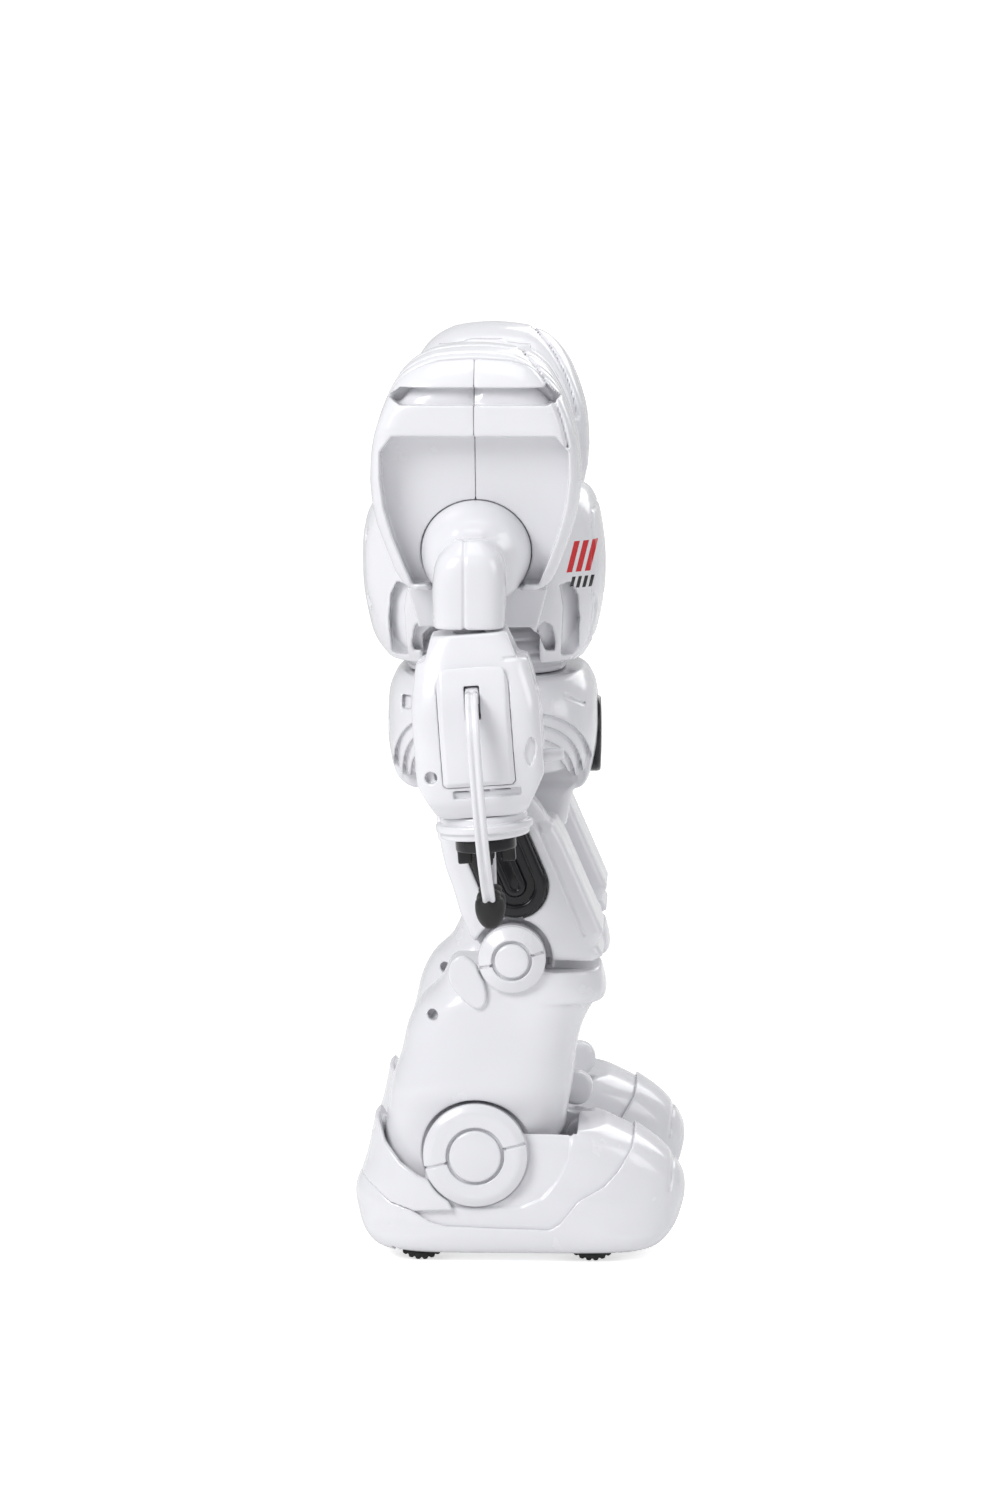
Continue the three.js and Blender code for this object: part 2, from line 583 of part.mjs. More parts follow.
function waistMeshes() {
  const shell = pelvisShell();
  const waist = loft(WAIST, FINE).subtract(
    loft([[180, -21, 22, 28, 3], [210, -21, 22, 26, 3]], STRAIGHT),
  );
  const clearOfPelvis = waist.subtract(loft([[180, -29, 34, 40, 3], [188.4, -29, 34, 40, 3]], STRAIGHT));
  const ring = frontSolid(circle([0, BELLY.z], BELLY.radius - GAP), 24, 38.6, 1);
  const muzzle = frontSolid(circle([0, BELLY.z], 9), 28, FAR);
  return [
    mesh("waist_drum", clearOfPelvis, WHITE),
    mesh("pelvis_front_shell", shell.intersect(frontHalf), WHITE),
    mesh("pelvis_rear_shell", shell.intersect(rearHalf), WHITE),
    mesh("belly_ring", ring.subtract(muzzle), BLACK),
  ];
}

// ---------- Legs, on the left side ----------
const THIGH_SIDE = [
  [-13, 144], [-12.2, 135.3], [-10.6, 128.4], [-8.3, 122], [-6, 114], [-2.6, 106.2], [2, 101], [23.7, 99.2],
  [30.8, 100.9], [38.6, 103.8], [40.3, 107.6], [27.7, 137], [24, 143.4],
];
const THIGH_HOLLOW = [[-9, 150], [-2.5, 115], [34, 115], [22, 150]];
const THIGH_EAR = [[-14.2, 152], [-13, 138], [26.6, 138], [19.4, 149], [10, 160]];
const PANEL = { foot: [11.8, 123.3], lean: 23, radius: 10.4, length: 22 };

function panelOutline(radius) {
  const lean = radians(PANEL.lean);
  const [f, z] = PANEL.foot;
  const head = [f - PANEL.length * Math.sin(lean), z + PANEL.length * Math.cos(lean)];
  const lowerEnd = arc(PANEL.foot, radius, 180 + PANEL.lean, 360 + PANEL.lean, 8);
  const upperEnd = arc(head, radius, PANEL.lean, 180 + PANEL.lean, 8);
  return [...lowerEnd, ...upperEnd];
}

function thighMeshes(side) {
  const block = sideSolid(THIGH_SIDE, 28, 64, 2.2);
  const lowTop = box(0, 48.6, -60, 60, 142.6, 200);
  const ear = union(sideSolid(THIGH_EAR, 49.4, 62), disc(HIP, 12.4, 49.4, 62));
  const root = sideSolid([[2, 98], [20, 98], [22, 110], [0, 110]], 31, 56);
  const tongue = disc(KNEE, 9.6, 31, 56).add(root);
  const clear = disc(KNEE, 12.8, 57, 80).add(disc(KNEE, 12.8, 0, 30.4));
  const cupTop = box(20, 30.4, -30, 60, 90, 106);
  const pocket = sideSolid(panelOutline(PANEL.radius + GAP), 61, 70);
  const shell = block
    .subtract(lowTop)
    .subtract(clear)
    .add(tongue)
    .subtract(cupTop.intersect(disc(KNEE, 16, 20, 30.4)))
    .add(ear)
    .add(disc(HIP, 4, 37.5, 50))
    .subtract(disc(KNEE, 3.5 + RUNNING_GAP, 20, 70))
    .subtract(pocket)
    .subtract(sideSolid(THIGH_HOLLOW, 32, 46));
  const panel = sideSolid(panelOutline(PANEL.radius), 61.4, 65.4, 1.2);
  const dish = sideSolid(panelOutline(PANEL.radius - 4), 64, 70);
  return [
    mesh(`${side}_thigh_shell`, shell, WHITE),
    mesh(`${side}_thigh_panel`, panel.subtract(dish), BLACK),
  ];
}

const SHIN = [
  [31, -25, 17, 22.5, 2.6],
  [40, -29.5, 26.8, 24, 2.6],
  [47.5, -30, 28.6, 24.6, 2.6],
  [56, -29, 30.2, 24.6, 2.6],
  [66, -25.8, 31.2, 24, 2.6],
  [75.7, -23.5, 33.4, 23, 2.6],
  [83, -19.6, 37, 22.4, 2.8],
  [89, -13.5, 40.4, 22, 3],
  [96.5, -9.6, 39, 22, 3],
];
// A rounded lug on the instep, and the matching one above it on the shin.
const LUG_SPAN = [22, 29.4];
const LUG_RADIUS = 5.6;
const FOOT_LUG = [33, 34];
const SHIN_LUG = [31, 50];
const SHIN_FOOT = [[-60, 31], [-24, 31], [16, 33.4], [22, 36.2], [60, 51], [60, 0], [-60, 0]];
const LIP = [[84.6, -2, 40.4, 21.8, 3], [88, -4, 41.2, 22.2, 3], [95.2, -4, 39.4, 22, 3]];

// A joint cover: a bevelled ring round a raised cap, at x, on a spindle that reaches in to x = inner.
function ring(centre, radius, cap, x, spindle, inner) {
  const bevel = radius * 0.16;
  return turned(centre, [
    [0, inner], [spindle, inner], [spindle, x], [radius, x], [radius, x + bevel], [radius * 0.66, x + 4.2],
    [cap + 0.5, x + 4.2], [cap + 0.3, x + 3], [cap, x + 3], [cap, x + 4.4],
    [cap * 0.8, x + 5.2], [0, x + 5.6],
  ]);
}

function shinMeshes(side) {
  const lip = loft(LIP, { x: LEG_X, rings: 3, sides: FINE.sides });
  const outer = loft(SHIN, { x: LEG_X, ...FINE }).add(lip);
  const belowKnee = loft(SHIN.slice(0, 7), { x: LEG_X, inset: WALL, ...COARSE });
  const cavity = belowKnee.subtract(box(0, 90, -60, 60, 78, 120));
  const openBase = loft([[20, -22, 20, 20, 2.6], [42, -24, 20, 20.5, 2.6]], { x: LEG_X, ...STRAIGHT });
  const webs = union(box(29, 32, -16, 16, 28.5, 74), box(56, 59, -16, 16, 28.5, 74)).intersect(
    loft(SHIN, { x: LEG_X, ...COARSE }),
  );
  const notch = disc(ANKLE, ANKLE_RING + 1.2, 60.4, 90).add(disc(ANKLE, ANKLE_RING + 1.2, 0, 27.6));
  const ears = union(disc(KNEE, KNEE_RING, 57.8, 66), disc(KNEE, KNEE_RING, 22, 29.6));
  const cup = disc(KNEE, 17.2, 30.2, 57.2).add(box(30.2, 57.2, -12, 28, KNEE[1], 130));
  const thighRoom = box(20, 70, 24, 60, 95.3, 120);
  const topRoom = box(57.2, 80, -30, 60, 95.4, 130).add(box(10, 30.2, -30, 60, 95.4, 130));
  const shell = outer
    .add(disc(SHIN_LUG, LUG_RADIUS, ...LUG_SPAN, 12))
    .subtract(cavity)
    .subtract(openBase)
    .add(webs)
    .subtract(sideSolid(SHIN_FOOT, 0, 90))
    .subtract(notch)
    .subtract(thighRoom)
    .subtract(topRoom)
    .add(ears)
    .subtract(cup)
    .subtract(disc(KNEE, 3.5 + RUNNING_GAP, 10, 80))
    .subtract(disc(ANKLE, 5 + RUNNING_GAP, 10, 80));
  return [
    mesh(`${side}_shin_shell`, shell, WHITE),
    mesh(`${side}_knee_cap`, ring(KNEE, KNEE_RING, 5.6, 66.6, 3.5, 23), WHITE),
  ];
}

const FOOT = [
  [3, -31.4, 55.4, 24.8, 5],
  [5, -35, 59.5, 26.8, 4.6],
  [8.5, -38, 63, 27.8, 4],
  [13, -39.8, 65.4, 28, 3.2],
  [20, -41, 67, 28, 2.8],
  [26, -39, 66, 27.4, 2.7],
  [33, -34, 61, 25, 2.6],
  [39, -24, 53, 21, 2.5],
  [44.5, -12, 40, 15, 2.4],
];
// The bumper's upper edge, seen from the side.
const BUMPER_LINE = [
  [-60, 26], [-38, 25], [-34, 22.6], [-29, 18.6], [-22, 16.6], [-16, 13], [-10.7, 11.6], [23.4, 10.6],
  [27.3, 12.9], [33.1, 20.2], [41.2, 24.6], [46, 29.6], [50.6, 37], [51.6, 41.5], [80, 41.5],
];

function footMeshes(side) {
  const whole = loft(FOOT, { x: FOOT_X, ...FINE });
  const below = sideSolid([...BUMPER_LINE, [80, -5], [-60, -5]], 0, 90);
  const above = sideSolid([...BUMPER_LINE.map(([f, z]) => [f - GAP, z + GAP]), [80, 80], [-60, 80]], 0, 90);
  const cavity = loft(FOOT, { x: FOOT_X, inset: WALL + 0.6, ...COARSE });
  const wells = [FRONT_AXLE, REAR_AXLE].flatMap(([f]) =>
    [[19, 29], [55, 65]].map(([x0, x1]) => box(x0, x1, f - 11, f + 11, -2, 21)),
  );
  const axleSlots = [FRONT_AXLE, REAR_AXLE].map((axle) => disc(axle, 2 + RUNNING_GAP * 0.5, 17, 66, 12));
  const bearers = [FRONT_AXLE, REAR_AXLE].map(([f]) =>
    union(box(32, 35, f - 5, f + 5, 5, 14), box(49, 52, f - 5, f + 5, 5, 14)),
  );
  const rubPad = box(33, 51, 2, 20, 2.6, 6);
  const base = whole
    .intersect(below)
    .subtract(cavity)
    .subtract(union(...wells))
    .add(union(...bearers, rubPad))
    .subtract(union(...axleSlots));
  const upperSkin = loft(FOOT, { x: FOOT_X, inset: 1, ...FINE }).intersect(above);
  const hollow = loft(FOOT, { x: FOOT_X, inset: WALL + 1.4, ...COARSE });
  const shinRoom = sideSolid([[-36, 27], [16, 27], [34, 37], [34, 80], [-36, 80]], 17, 71);
  const ears = union(disc(ANKLE, ANKLE_RING - 0.6, 61, 67), disc(ANKLE, ANKLE_RING - 0.6, 21, 27));
  const deck = box(18.5, 66, -22, 15, 23.4, 26.4).intersect(loft(FOOT, { x: FOOT_X, inset: 1, ...FINE }));
  const lug = disc(FOOT_LUG, LUG_RADIUS, ...LUG_SPAN, 12);
  const upper = upperSkin
    .subtract(hollow)
    .subtract(shinRoom)
    .add(deck)
    .add(lug)
    .subtract(disc(ANKLE, ANKLE_RING + RUNNING_GAP, 67, 90))
    .add(ears)
    .subtract(disc(ANKLE, 5, 10, 90))
    .subtract(union(...wells));
  const wheels = [["front", FRONT_AXLE], ["rear", REAR_AXLE]].map(([name, axle]) => {
    const set = union(
      disc(axle, WHEEL_RADIUS, 20, 28), disc(axle, WHEEL_RADIUS, 56, 64), disc(axle, 2, 21, 63, 12),
    );
    return mesh(`${side}_${name}_wheelset`, set, RUBBER);
  });
  return [
    mesh(`${side}_foot_base`, base, WHITE),
    mesh(`${side}_foot_upper`, upper, WHITE),
    mesh(`${side}_ankle_cap`, ring(ANKLE, ANKLE_RING, 8.5, 67.4, 4.7, 20), WHITE),
    ...wheels,
  ];
}

// ---------- Assembly ----------
function sideGroup(side) {
  const group = new THREE.Group();
  group.add(
    ...shoulderMeshes(side),
    upperArmMesh(side),
    forearmGroup(side),
    ...thighMeshes(side),
    ...shinMeshes(side),
    ...footMeshes(side),
  );
  if (side === "right") group.scale.x = -1;
  return group;
}

const robot = new THREE.Group();
robot.position.y = BODY_SETBACK;
robot.add(...torsoMeshes(), ...headMeshes(), ...waistMeshes(), sideGroup("left"), sideGroup("right"));

export default robot;
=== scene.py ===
# The looks of a toy humanoid robot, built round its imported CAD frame. Each moulding is a signed
# distance field on a grid of points, negative inside, that is turned into a smooth closed surface.
# Lengths are millimetres along x, f (forward from the body's axis) and z (up from the floor).

import json
import math

import bpy
import numpy as np
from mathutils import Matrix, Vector


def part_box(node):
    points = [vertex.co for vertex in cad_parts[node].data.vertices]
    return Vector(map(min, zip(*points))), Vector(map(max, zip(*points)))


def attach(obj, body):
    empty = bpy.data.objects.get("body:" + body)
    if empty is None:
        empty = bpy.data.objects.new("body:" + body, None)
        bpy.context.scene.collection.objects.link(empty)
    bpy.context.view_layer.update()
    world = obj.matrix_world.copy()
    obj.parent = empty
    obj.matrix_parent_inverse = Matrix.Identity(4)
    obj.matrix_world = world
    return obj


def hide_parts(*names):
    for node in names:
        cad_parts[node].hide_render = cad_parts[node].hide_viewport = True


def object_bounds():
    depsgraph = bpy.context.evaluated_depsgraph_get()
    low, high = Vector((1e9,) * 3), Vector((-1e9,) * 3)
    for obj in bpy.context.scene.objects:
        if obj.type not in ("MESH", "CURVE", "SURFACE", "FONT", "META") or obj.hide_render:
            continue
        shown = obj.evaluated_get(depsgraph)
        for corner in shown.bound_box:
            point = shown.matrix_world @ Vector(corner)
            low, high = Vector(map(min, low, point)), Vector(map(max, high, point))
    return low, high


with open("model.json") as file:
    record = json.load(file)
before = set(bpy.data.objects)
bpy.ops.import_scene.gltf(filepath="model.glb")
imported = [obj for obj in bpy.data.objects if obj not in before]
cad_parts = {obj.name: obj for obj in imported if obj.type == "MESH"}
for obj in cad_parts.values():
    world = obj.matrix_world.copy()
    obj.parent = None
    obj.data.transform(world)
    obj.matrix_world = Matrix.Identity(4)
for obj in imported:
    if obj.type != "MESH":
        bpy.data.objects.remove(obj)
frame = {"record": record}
CAD_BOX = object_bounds()
MM = 1000.0
JOINTS = {joint["name"]: joint for joint in frame["record"]["behaviour"]["joints"]}
AXIS_Y = JOINTS["head_turn"]["pos_m"][1] * MM  # the body's axis, behind the middle of the feet
COARSENESS = 1.0
WALL = 2.4  # walls of the hollow mouldings
GROOVE_HALF = 0.5 * COARSENESS  # half the width of a panel line
SEAM = 0.06  # half the gap between two halves of one moulding


def joint_centre(name):
    x, y, z = JOINTS[name]["pos_m"]
    return [x * MM, AXIS_Y - y * MM, z * MM]


def floor_of(node):
    """The point on the body's axis level with a node's lowest edge."""
    return [0.0, 0.0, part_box(node)[0][2] * MM]


HIP = joint_centre("left_hip")
KNEE = joint_centre("left_knee")
ANKLE = joint_centre("left_ankle")
FRONT_AXLE = joint_centre("left_front_wheels_roll")
REAR_AXLE = joint_centre("left_rear_wheels_roll")
FOOT = [FRONT_AXLE[0], 0.0, CAD_BOX[0][2] * MM]
SHOULDER = joint_centre("left_shoulder_swing")
OUTWARD = -np.array(JOINTS["left_shoulder_swing"]["axis"])  # away from the body, and tipped down
CLAWS = [joint_centre(f"left_{which}_claw_open") for which in ("outer", "inner")]
CLAW_AXIS = JOINTS["left_outer_claw_open"]["axis"]
ARM_LEAN = math.atan(abs(CLAW_AXIS[2] / CLAW_AXIS[1]))
CLAW_REACH = (CLAWS[0][0] - CLAWS[1][0]) / 2
CLAW_DROP = 19.0  # the claws' pivots hang this far below the elbow, along the forearm
ELBOW = [
    CLAWS[1][0] + CLAW_REACH,
    CLAWS[0][1] - CLAW_DROP * math.sin(ARM_LEAN),
    CLAWS[0][2] + CLAW_DROP * math.cos(ARM_LEAN),
]


# ---------- Grids and fields ----------
class Grid:
    """Sample points round a CAD node, as x, f and z arrays that broadcast together."""

    def __init__(self, node, step, margin):
        low, high = (np.array(corner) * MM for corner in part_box(node))
        self.step = step * COARSENESS
        reach = margin + 2 * self.step
        spans = [(low[0], high[0]), (AXIS_Y - high[1], AXIS_Y - low[1]), (low[2], high[2])]
        self.ticks = [np.arange(a - reach, b + reach, self.step) for a, b in spans]
        self.x = self.ticks[0][:, None, None]
        self.f = self.ticks[1][None, :, None]
        self.z = self.ticks[2][None, None, :]
        self.shape = tuple(len(t) for t in self.ticks)

    @property
    def out(self):
        """How far to either side each point is."""
        return np.abs(self.x)

    def seen_from(self, origin, lean=0.0):
        """The same points measured from an origin, in a frame that leans forward."""
        seen = object.__new__(Grid)
        f, z = self.f - origin[1], self.z - origin[2]
        c, s = math.cos(lean), math.sin(lean)
        seen.x = self.x - origin[0]
        seen.f = f * c + z * s if lean else f
        seen.z = z * c - f * s if lean else z
        seen.step, seen.shape = self.step, self.shape
        return seen


def union(a, b, blend=0.0):
    if not blend:
        return np.minimum(a, b)
    h = np.maximum(blend - np.abs(a - b), 0) / blend
    return np.minimum(a, b) - h * h * blend / 4


def overlap(a, b, blend=0.0):
    return -union(-a, -b, blend)


def cut(a, b, blend=0.0):
    return overlap(a, -b, blend)


def past(t, limit):
    return limit - t


def short_of(t, limit):
    return t - limit


def between(t, low, high):
    return np.abs(t - (low + high) / 2) - (high - low) / 2


def sink(body, outline, depth, soften=0.5):
    """Presses an outline into a body's surface."""
    return cut(body, overlap(outline, -(body + depth)), soften)


def score(body, line, depth=0.8, where=-1.0):
    """A soft-edged panel line along the zero line of another field, kept to a region."""
    groove = np.exp(-((line / GROOVE_HALF) ** 2))
    return body + depth * groove * np.clip(-where / GROOVE_HALF, 0, 1)


def front_half(body, v):
    """The front half of a moulding, and the whole of it to shade the half by."""
    return overlap(body, past(v.f, SEAM)), body


def rear_half(body, v):
    return overlap(body, short_of(v.f, -SEAM)), body


def curve(points, count, closed=False):
    """Points along a smooth curve through the given ones, one to a row."""
    p = np.asarray(points, float)
    if closed:
        p = np.vstack([p[-1:], p, p[:2]])
    else:
        p = np.vstack([2 * p[0] - p[1], p, 2 * p[-1] - p[-2]])
    spans = len(p) - 3
    t = np.linspace(0, spans, count, endpoint=not closed)
    i = np.minimum(t.astype(int), spans - 1)
    u = (t - i)[:, None]
    a, b, c, d = p[i], p[i + 1], p[i + 2], p[i + 3]
    return 0.5 * (2 * b + (c - a) * u + (2 * a - 5 * b + 4 * c - d) * u**2 + (3 * b - a - 3 * c + d) * u**3)


def polygon(u, v, points):
    """Distance in a plane to a closed outline."""
    p = np.asarray(points, float)
    nearest = np.full(np.broadcast(u, v).shape, np.inf)
    inside = np.zeros(nearest.shape, bool)
    for (ax, ay), (bx, by) in zip(p, np.roll(p, -1, axis=0)):
        ex, ey = bx - ax, by - ay
        t = np.clip(((u - ax) * ex + (v - ay) * ey) / max(ex * ex + ey * ey, 1e-9), 0, 1)
        nearest = np.minimum(nearest, (u - ax - t * ex) ** 2 + (v - ay - t * ey) ** 2)
        if ey:
            inside ^= ((ay > v) != (by > v)) & (u < ax + (v - ay) * ex / ey)
    return np.where(inside, -1, 1) * np.sqrt(nearest)


def side_prism(g, outline, x0, x1, edge=0.6):
    return overlap(polygon(g.f, g.z, outline), between(g.x, x0, x1), edge)


def disc(g, radius, x0, x1, edge=0.6, at=(0, 0)):
    """A round bar across the robot about an [f, z] centre."""
    return overlap(np.hypot(g.f - at[0], g.z - at[1]) - radius, between(g.x, x0, x1), edge)


def post(g, radius, z0, z1, edge=0.6):
    return overlap(np.hypot(g.x, g.f) - radius, between(g.z, z0, z1), edge)


def rod(g, radius, f0, f1, edge=0.6, at=(0, 0)):
    """A round bar that points forward about an [x, z] centre."""
    return overlap(np.hypot(g.x - at[0], g.z - at[1]) - radius, between(g.f, f0, f1), edge)


def block(g, x0, x1, f0, f1, z0, z1, edge=0.6):
    plan = overlap(between(g.x, x0, x1), between(g.f, f0, f1), edge)
    return overlap(plan, between(g.z, z0, z1), edge)


def loft(g, stations, edge=1.6, open_ends=False):
    """A stack of squarish rings, each [up, back, front, half width, squareness]."""
    path = curve(stations, 160)
    z, back, front, half, square = path[np.argsort(path[:, 0])].T
    level = lambda values: np.interp(g.z, z, values)
    a, b, n = level(half), (level(front) - level(back)) / 2, level(square)
    u = g.out / a
    v = np.abs(g.f - (level(front) + level(back)) / 2) / b
    ring = np.maximum((u**n + v**n) ** (1 / n), 1e-3)
    slope = ring ** (1 - n) * np.hypot(u ** (n - 1) / a, v ** (n - 1) / b)
    rise = np.gradient(ring, g.step, axis=2)
    side = np.clip((ring - 1) / np.maximum(np.hypot(slope, rise), 1e-3), -12, 12)
    if open_ends:
        return side
    return overlap(side, between(g.z, stations[0][0], stations[-1][0]), edge)


# ---------- From a field to a mesh ----------
def probe(d, p):
    """The field and its slope between samples, in grid steps."""

    def read(q):
        q = np.clip(q, 0, np.array(d.shape) - 1.001)
        i = q.astype(int)
        t = q - i
        total = 0
        for corner in range(8):
            o = np.array([corner & 1, corner >> 1 & 1, corner >> 2 & 1])
            total = total + np.prod(np.where(o, t, 1 - t), axis=1) * d[tuple((i + o).T)]
        return total

    slope = np.stack([read(p + e) - read(p - e) for e in 0.5 * np.eye(3)], axis=1)
    return read(p), slope


def crossings(d, axis):
    """Where the field changes sign along one axis: the four cells round each edge, and the place."""
    u, v = (axis + 1) % 3, (axis + 2) % 3
    low, high = [slice(1, -1)] * 3, [slice(1, -1)] * 3
    low[axis], high[axis] = slice(0, -1), slice(1, None)
    a, b = d[tuple(low)], d[tuple(high)]
    hits = np.nonzero((a < 0) != (b < 0))
    start = np.array(hits).T + 1
    start[:, axis] -= 1
    place = start.astype(float)
    place[:, axis] += a[hits] / (a[hits] - b[hits])
    around = []
    for du, dv in ((0, 0), (1, 0), (1, 1), (0, 1)):
        cell = start.copy()
        cell[:, u] -= du
        cell[:, v] -= dv
        around.append(np.ravel_multi_index(cell.T, d.shape))
    quad = np.stack(around, axis=1)
    rising = a[hits] < 0
    quad[rising] = quad[rising][:, ::-1]
    return quad, np.repeat(place[:, None, :], 4, axis=1)


def largest_part(corners):
    """Which faces belong to the biggest connected surface."""
    label = np.arange(corners.max() + 1)
    settled = False
    while not settled:
        joined = label.copy()
        np.minimum.at(joined, corners.ravel(), np.repeat(label[corners].min(axis=1), 4))
        joined = joined[joined]
        settled = np.array_equal(joined, label)
        label = joined
    of_face = label[corners[:, 0]]
    return of_face == np.bincount(of_face).argmax()


def samples(g, field):
    return np.ascontiguousarray(np.broadcast_to(field, g.shape), dtype=np.float32)


def surface(g, made):
    """The zero surface by surface nets: points in metres, four-cornered faces and normals.

    made is a field, or a half moulding's field and the whole one's, which shades it."""
    half, whole = made if isinstance(made, tuple) else (made, made)
    d = samples(g, half)
    quads, places = zip(*(crossings(d, axis) for axis in range(3)))
    quads = np.concatenate(quads)
    places = np.concatenate(places)
    _, ids = np.unique(quads.ravel(), return_inverse=True)
    kept = largest_part(ids.reshape(-1, 4))
    quads = quads[kept]
    places = places[kept].reshape(-1, 3)
    _, ids = np.unique(quads.ravel(), return_inverse=True)
    ids = ids.ravel()
    count = np.bincount(ids)
    p = np.stack([np.bincount(ids, weights=places[:, k]) / count for k in range(3)], axis=1)
    for _ in range(3):
        value, slope = probe(d, p)
        step = np.clip(value / np.maximum((slope**2).sum(axis=1), 0.05), -0.5, 0.5)
        p -= step[:, None] * slope
    _, normal = probe(samples(g, whole), p)
    normal /= np.maximum(np.linalg.norm(normal, axis=1), 1e-6)[:, None]
    placed = np.stack([g.ticks[k][0] + p[:, k] * g.step for k in range(3)], axis=1)
    placed[:, 1] = AXIS_Y - placed[:, 1]
    normal[:, 1] *= -1
    return placed / MM, ids.reshape(-1, 4), normal


def make_mesh(name, points, quads, normals):
    mesh = bpy.data.meshes.new(name)
    mesh.vertices.add(len(points))
    mesh.vertices.foreach_set("co", points.astype(np.float32).ravel())
    mesh.loops.add(quads.size)
    mesh.loops.foreach_set("vertex_index", quads.astype(np.int32).ravel())
    mesh.polygons.add(len(quads))
    mesh.polygons.foreach_set("loop_start", np.arange(0, quads.size, 4, dtype=np.int32))
    mesh.update(calc_edges=True)
    mesh.validate()
    mesh.shade_smooth()
    mesh.normals_split_custom_set_from_vertices(normals.tolist())
    made = bpy.data.objects.new(name, mesh)
    bpy.context.scene.collection.objects.link(made)
    return made


BODY_OF = {
    node: body for body, nodes in frame["record"]["behaviour"]["bodies"].items() for node in nodes
}


def stand_in(node, points, quads, normals, material):
    made = make_mesh(f"{node}_looks", points, quads, normals)
    made.data.materials.append(material)
    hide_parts(node)
    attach(made, BODY_OF[node])


def piece(node, field_of, material, step=0.7, margin=4.0):
    g = Grid(node, step, margin)
    stand_in(node, *surface(g, field_of(g)), material)


def pair(node, field_of, material, step=0.7, margin=4.0):
    """The left piece, and its mirror image on the right."""
    g = Grid(f"left_{node}", step, margin)
    points, quads, normals = surface(g, field_of(g))
    stand_in(f"left_{node}", points, quads, normals, material)
    over = np.array([-1.0, 1.0, 1.0])
    stand_in(f"right_{node}", points * over, quads[:, ::-1], normals * over, material)


# ---------- Materials ----------
def shade(name):
    material = bpy.data.materials.new(name)
    material.use_nodes = True
    tree = material.node_tree
    return material, tree, tree.nodes["Principled BSDF"]


def tune(node, settings):
    for entry, value in settings.items():
        node.inputs[entry].default_value = value


def noise(tree, scale, detail=4.0):
    place = tree.nodes.new("ShaderNodeTexCoord")
    texture = tree.nodes.new("ShaderNodeTexNoise")
    tune(texture, {"Scale": scale, "Detail": detail})
    tree.links.new(place.outputs["Object"], texture.inputs["Vector"])
    return texture.outputs["Fac"]


def ramp(tree, value, low, high, start=0.3, end=0.7):
    node = tree.nodes.new("ShaderNodeMapRange")
    tune(node, {"From Min": start, "From Max": end, "To Min": low, "To Max": high})
    tree.links.new(value, node.inputs["Value"])
    return node.outputs["Result"]


def feed(tree, value, entry):
    """Links a socket to a node's entry, or sets the entry to a plain value."""
    if isinstance(value, bpy.types.NodeSocket):
        tree.links.new(value, entry)
    else:
        entry.default_value = value


def mix(tree, amount, first, second):
    node = tree.nodes.new("ShaderNodeMix")
    node.data_type = "RGBA"
    for value, entry in ((amount, 0), (first, 6), (second, 7)):
        feed(tree, value, node.inputs[entry])
    return node.outputs[2]


def bump(tree, height, strength, distance):
    node = tree.nodes.new("ShaderNodeBump")
    tune(node, {"Strength": strength, "Distance": distance})
    tree.links.new(height, node.inputs["Height"])
    return node.outputs["Normal"]


def plastic(name, light, deep, rough, coat, grain=0.04, ior=1.5):
    """Moulded plastic: a slow shift of tone, an uneven gloss and a faint texture."""
    material, tree, body = shade(name)
    tone = mix(tree, ramp(tree, noise(tree, 14.0, 3.0), 0, 1), (*deep, 1), (*light, 1))
    tree.links.new(tone, body.inputs["Base Color"])
    tree.links.new(ramp(tree, noise(tree, 70.0, 6.0), rough * 0.75, rough * 1.4), body.inputs["Roughness"])
    tree.links.new(bump(tree, noise(tree, 420.0, 2.0), grain, 0.0004), body.inputs["Normal"])
    tune(body, {"Coat Weight": coat, "Coat Roughness": 0.06, "IOR": ior})
    return material


def maths(tree, operation, *values):
    node = tree.nodes.new("ShaderNodeMath")
    node.operation = operation
    for value, entry in zip(values, node.inputs):
        feed(tree, value, entry)
    return node.outputs[0]


def band(tree, value, low, high):
    """1 between low and high, 0 outside."""
    above = maths(tree, "GREATER_THAN", value, low)
    return maths(tree, "MULTIPLY", above, maths(tree, "LESS_THAN", value, high))


# Printed marks on the chest's slanted corners, in metres from the body's axis and the chest's floor:
# slanted bars as [first bar's place, spacing, width, count, lower edge, upper edge, colour].
MARKS = [
    [0.0290, 0.0029, 0.0018, 3, 0.0330, 0.0430, (0.60, 0.015, 0.02, 1)],
    [0.0292, 0.0020, 0.0011, 4, 0.0278, 0.0315, (0.012, 0.012, 0.014, 1)],
]
MARK_SLANT = 0.25
MARK_INNER = 0.0265  # the marks stay outside this distance from the robot's middle


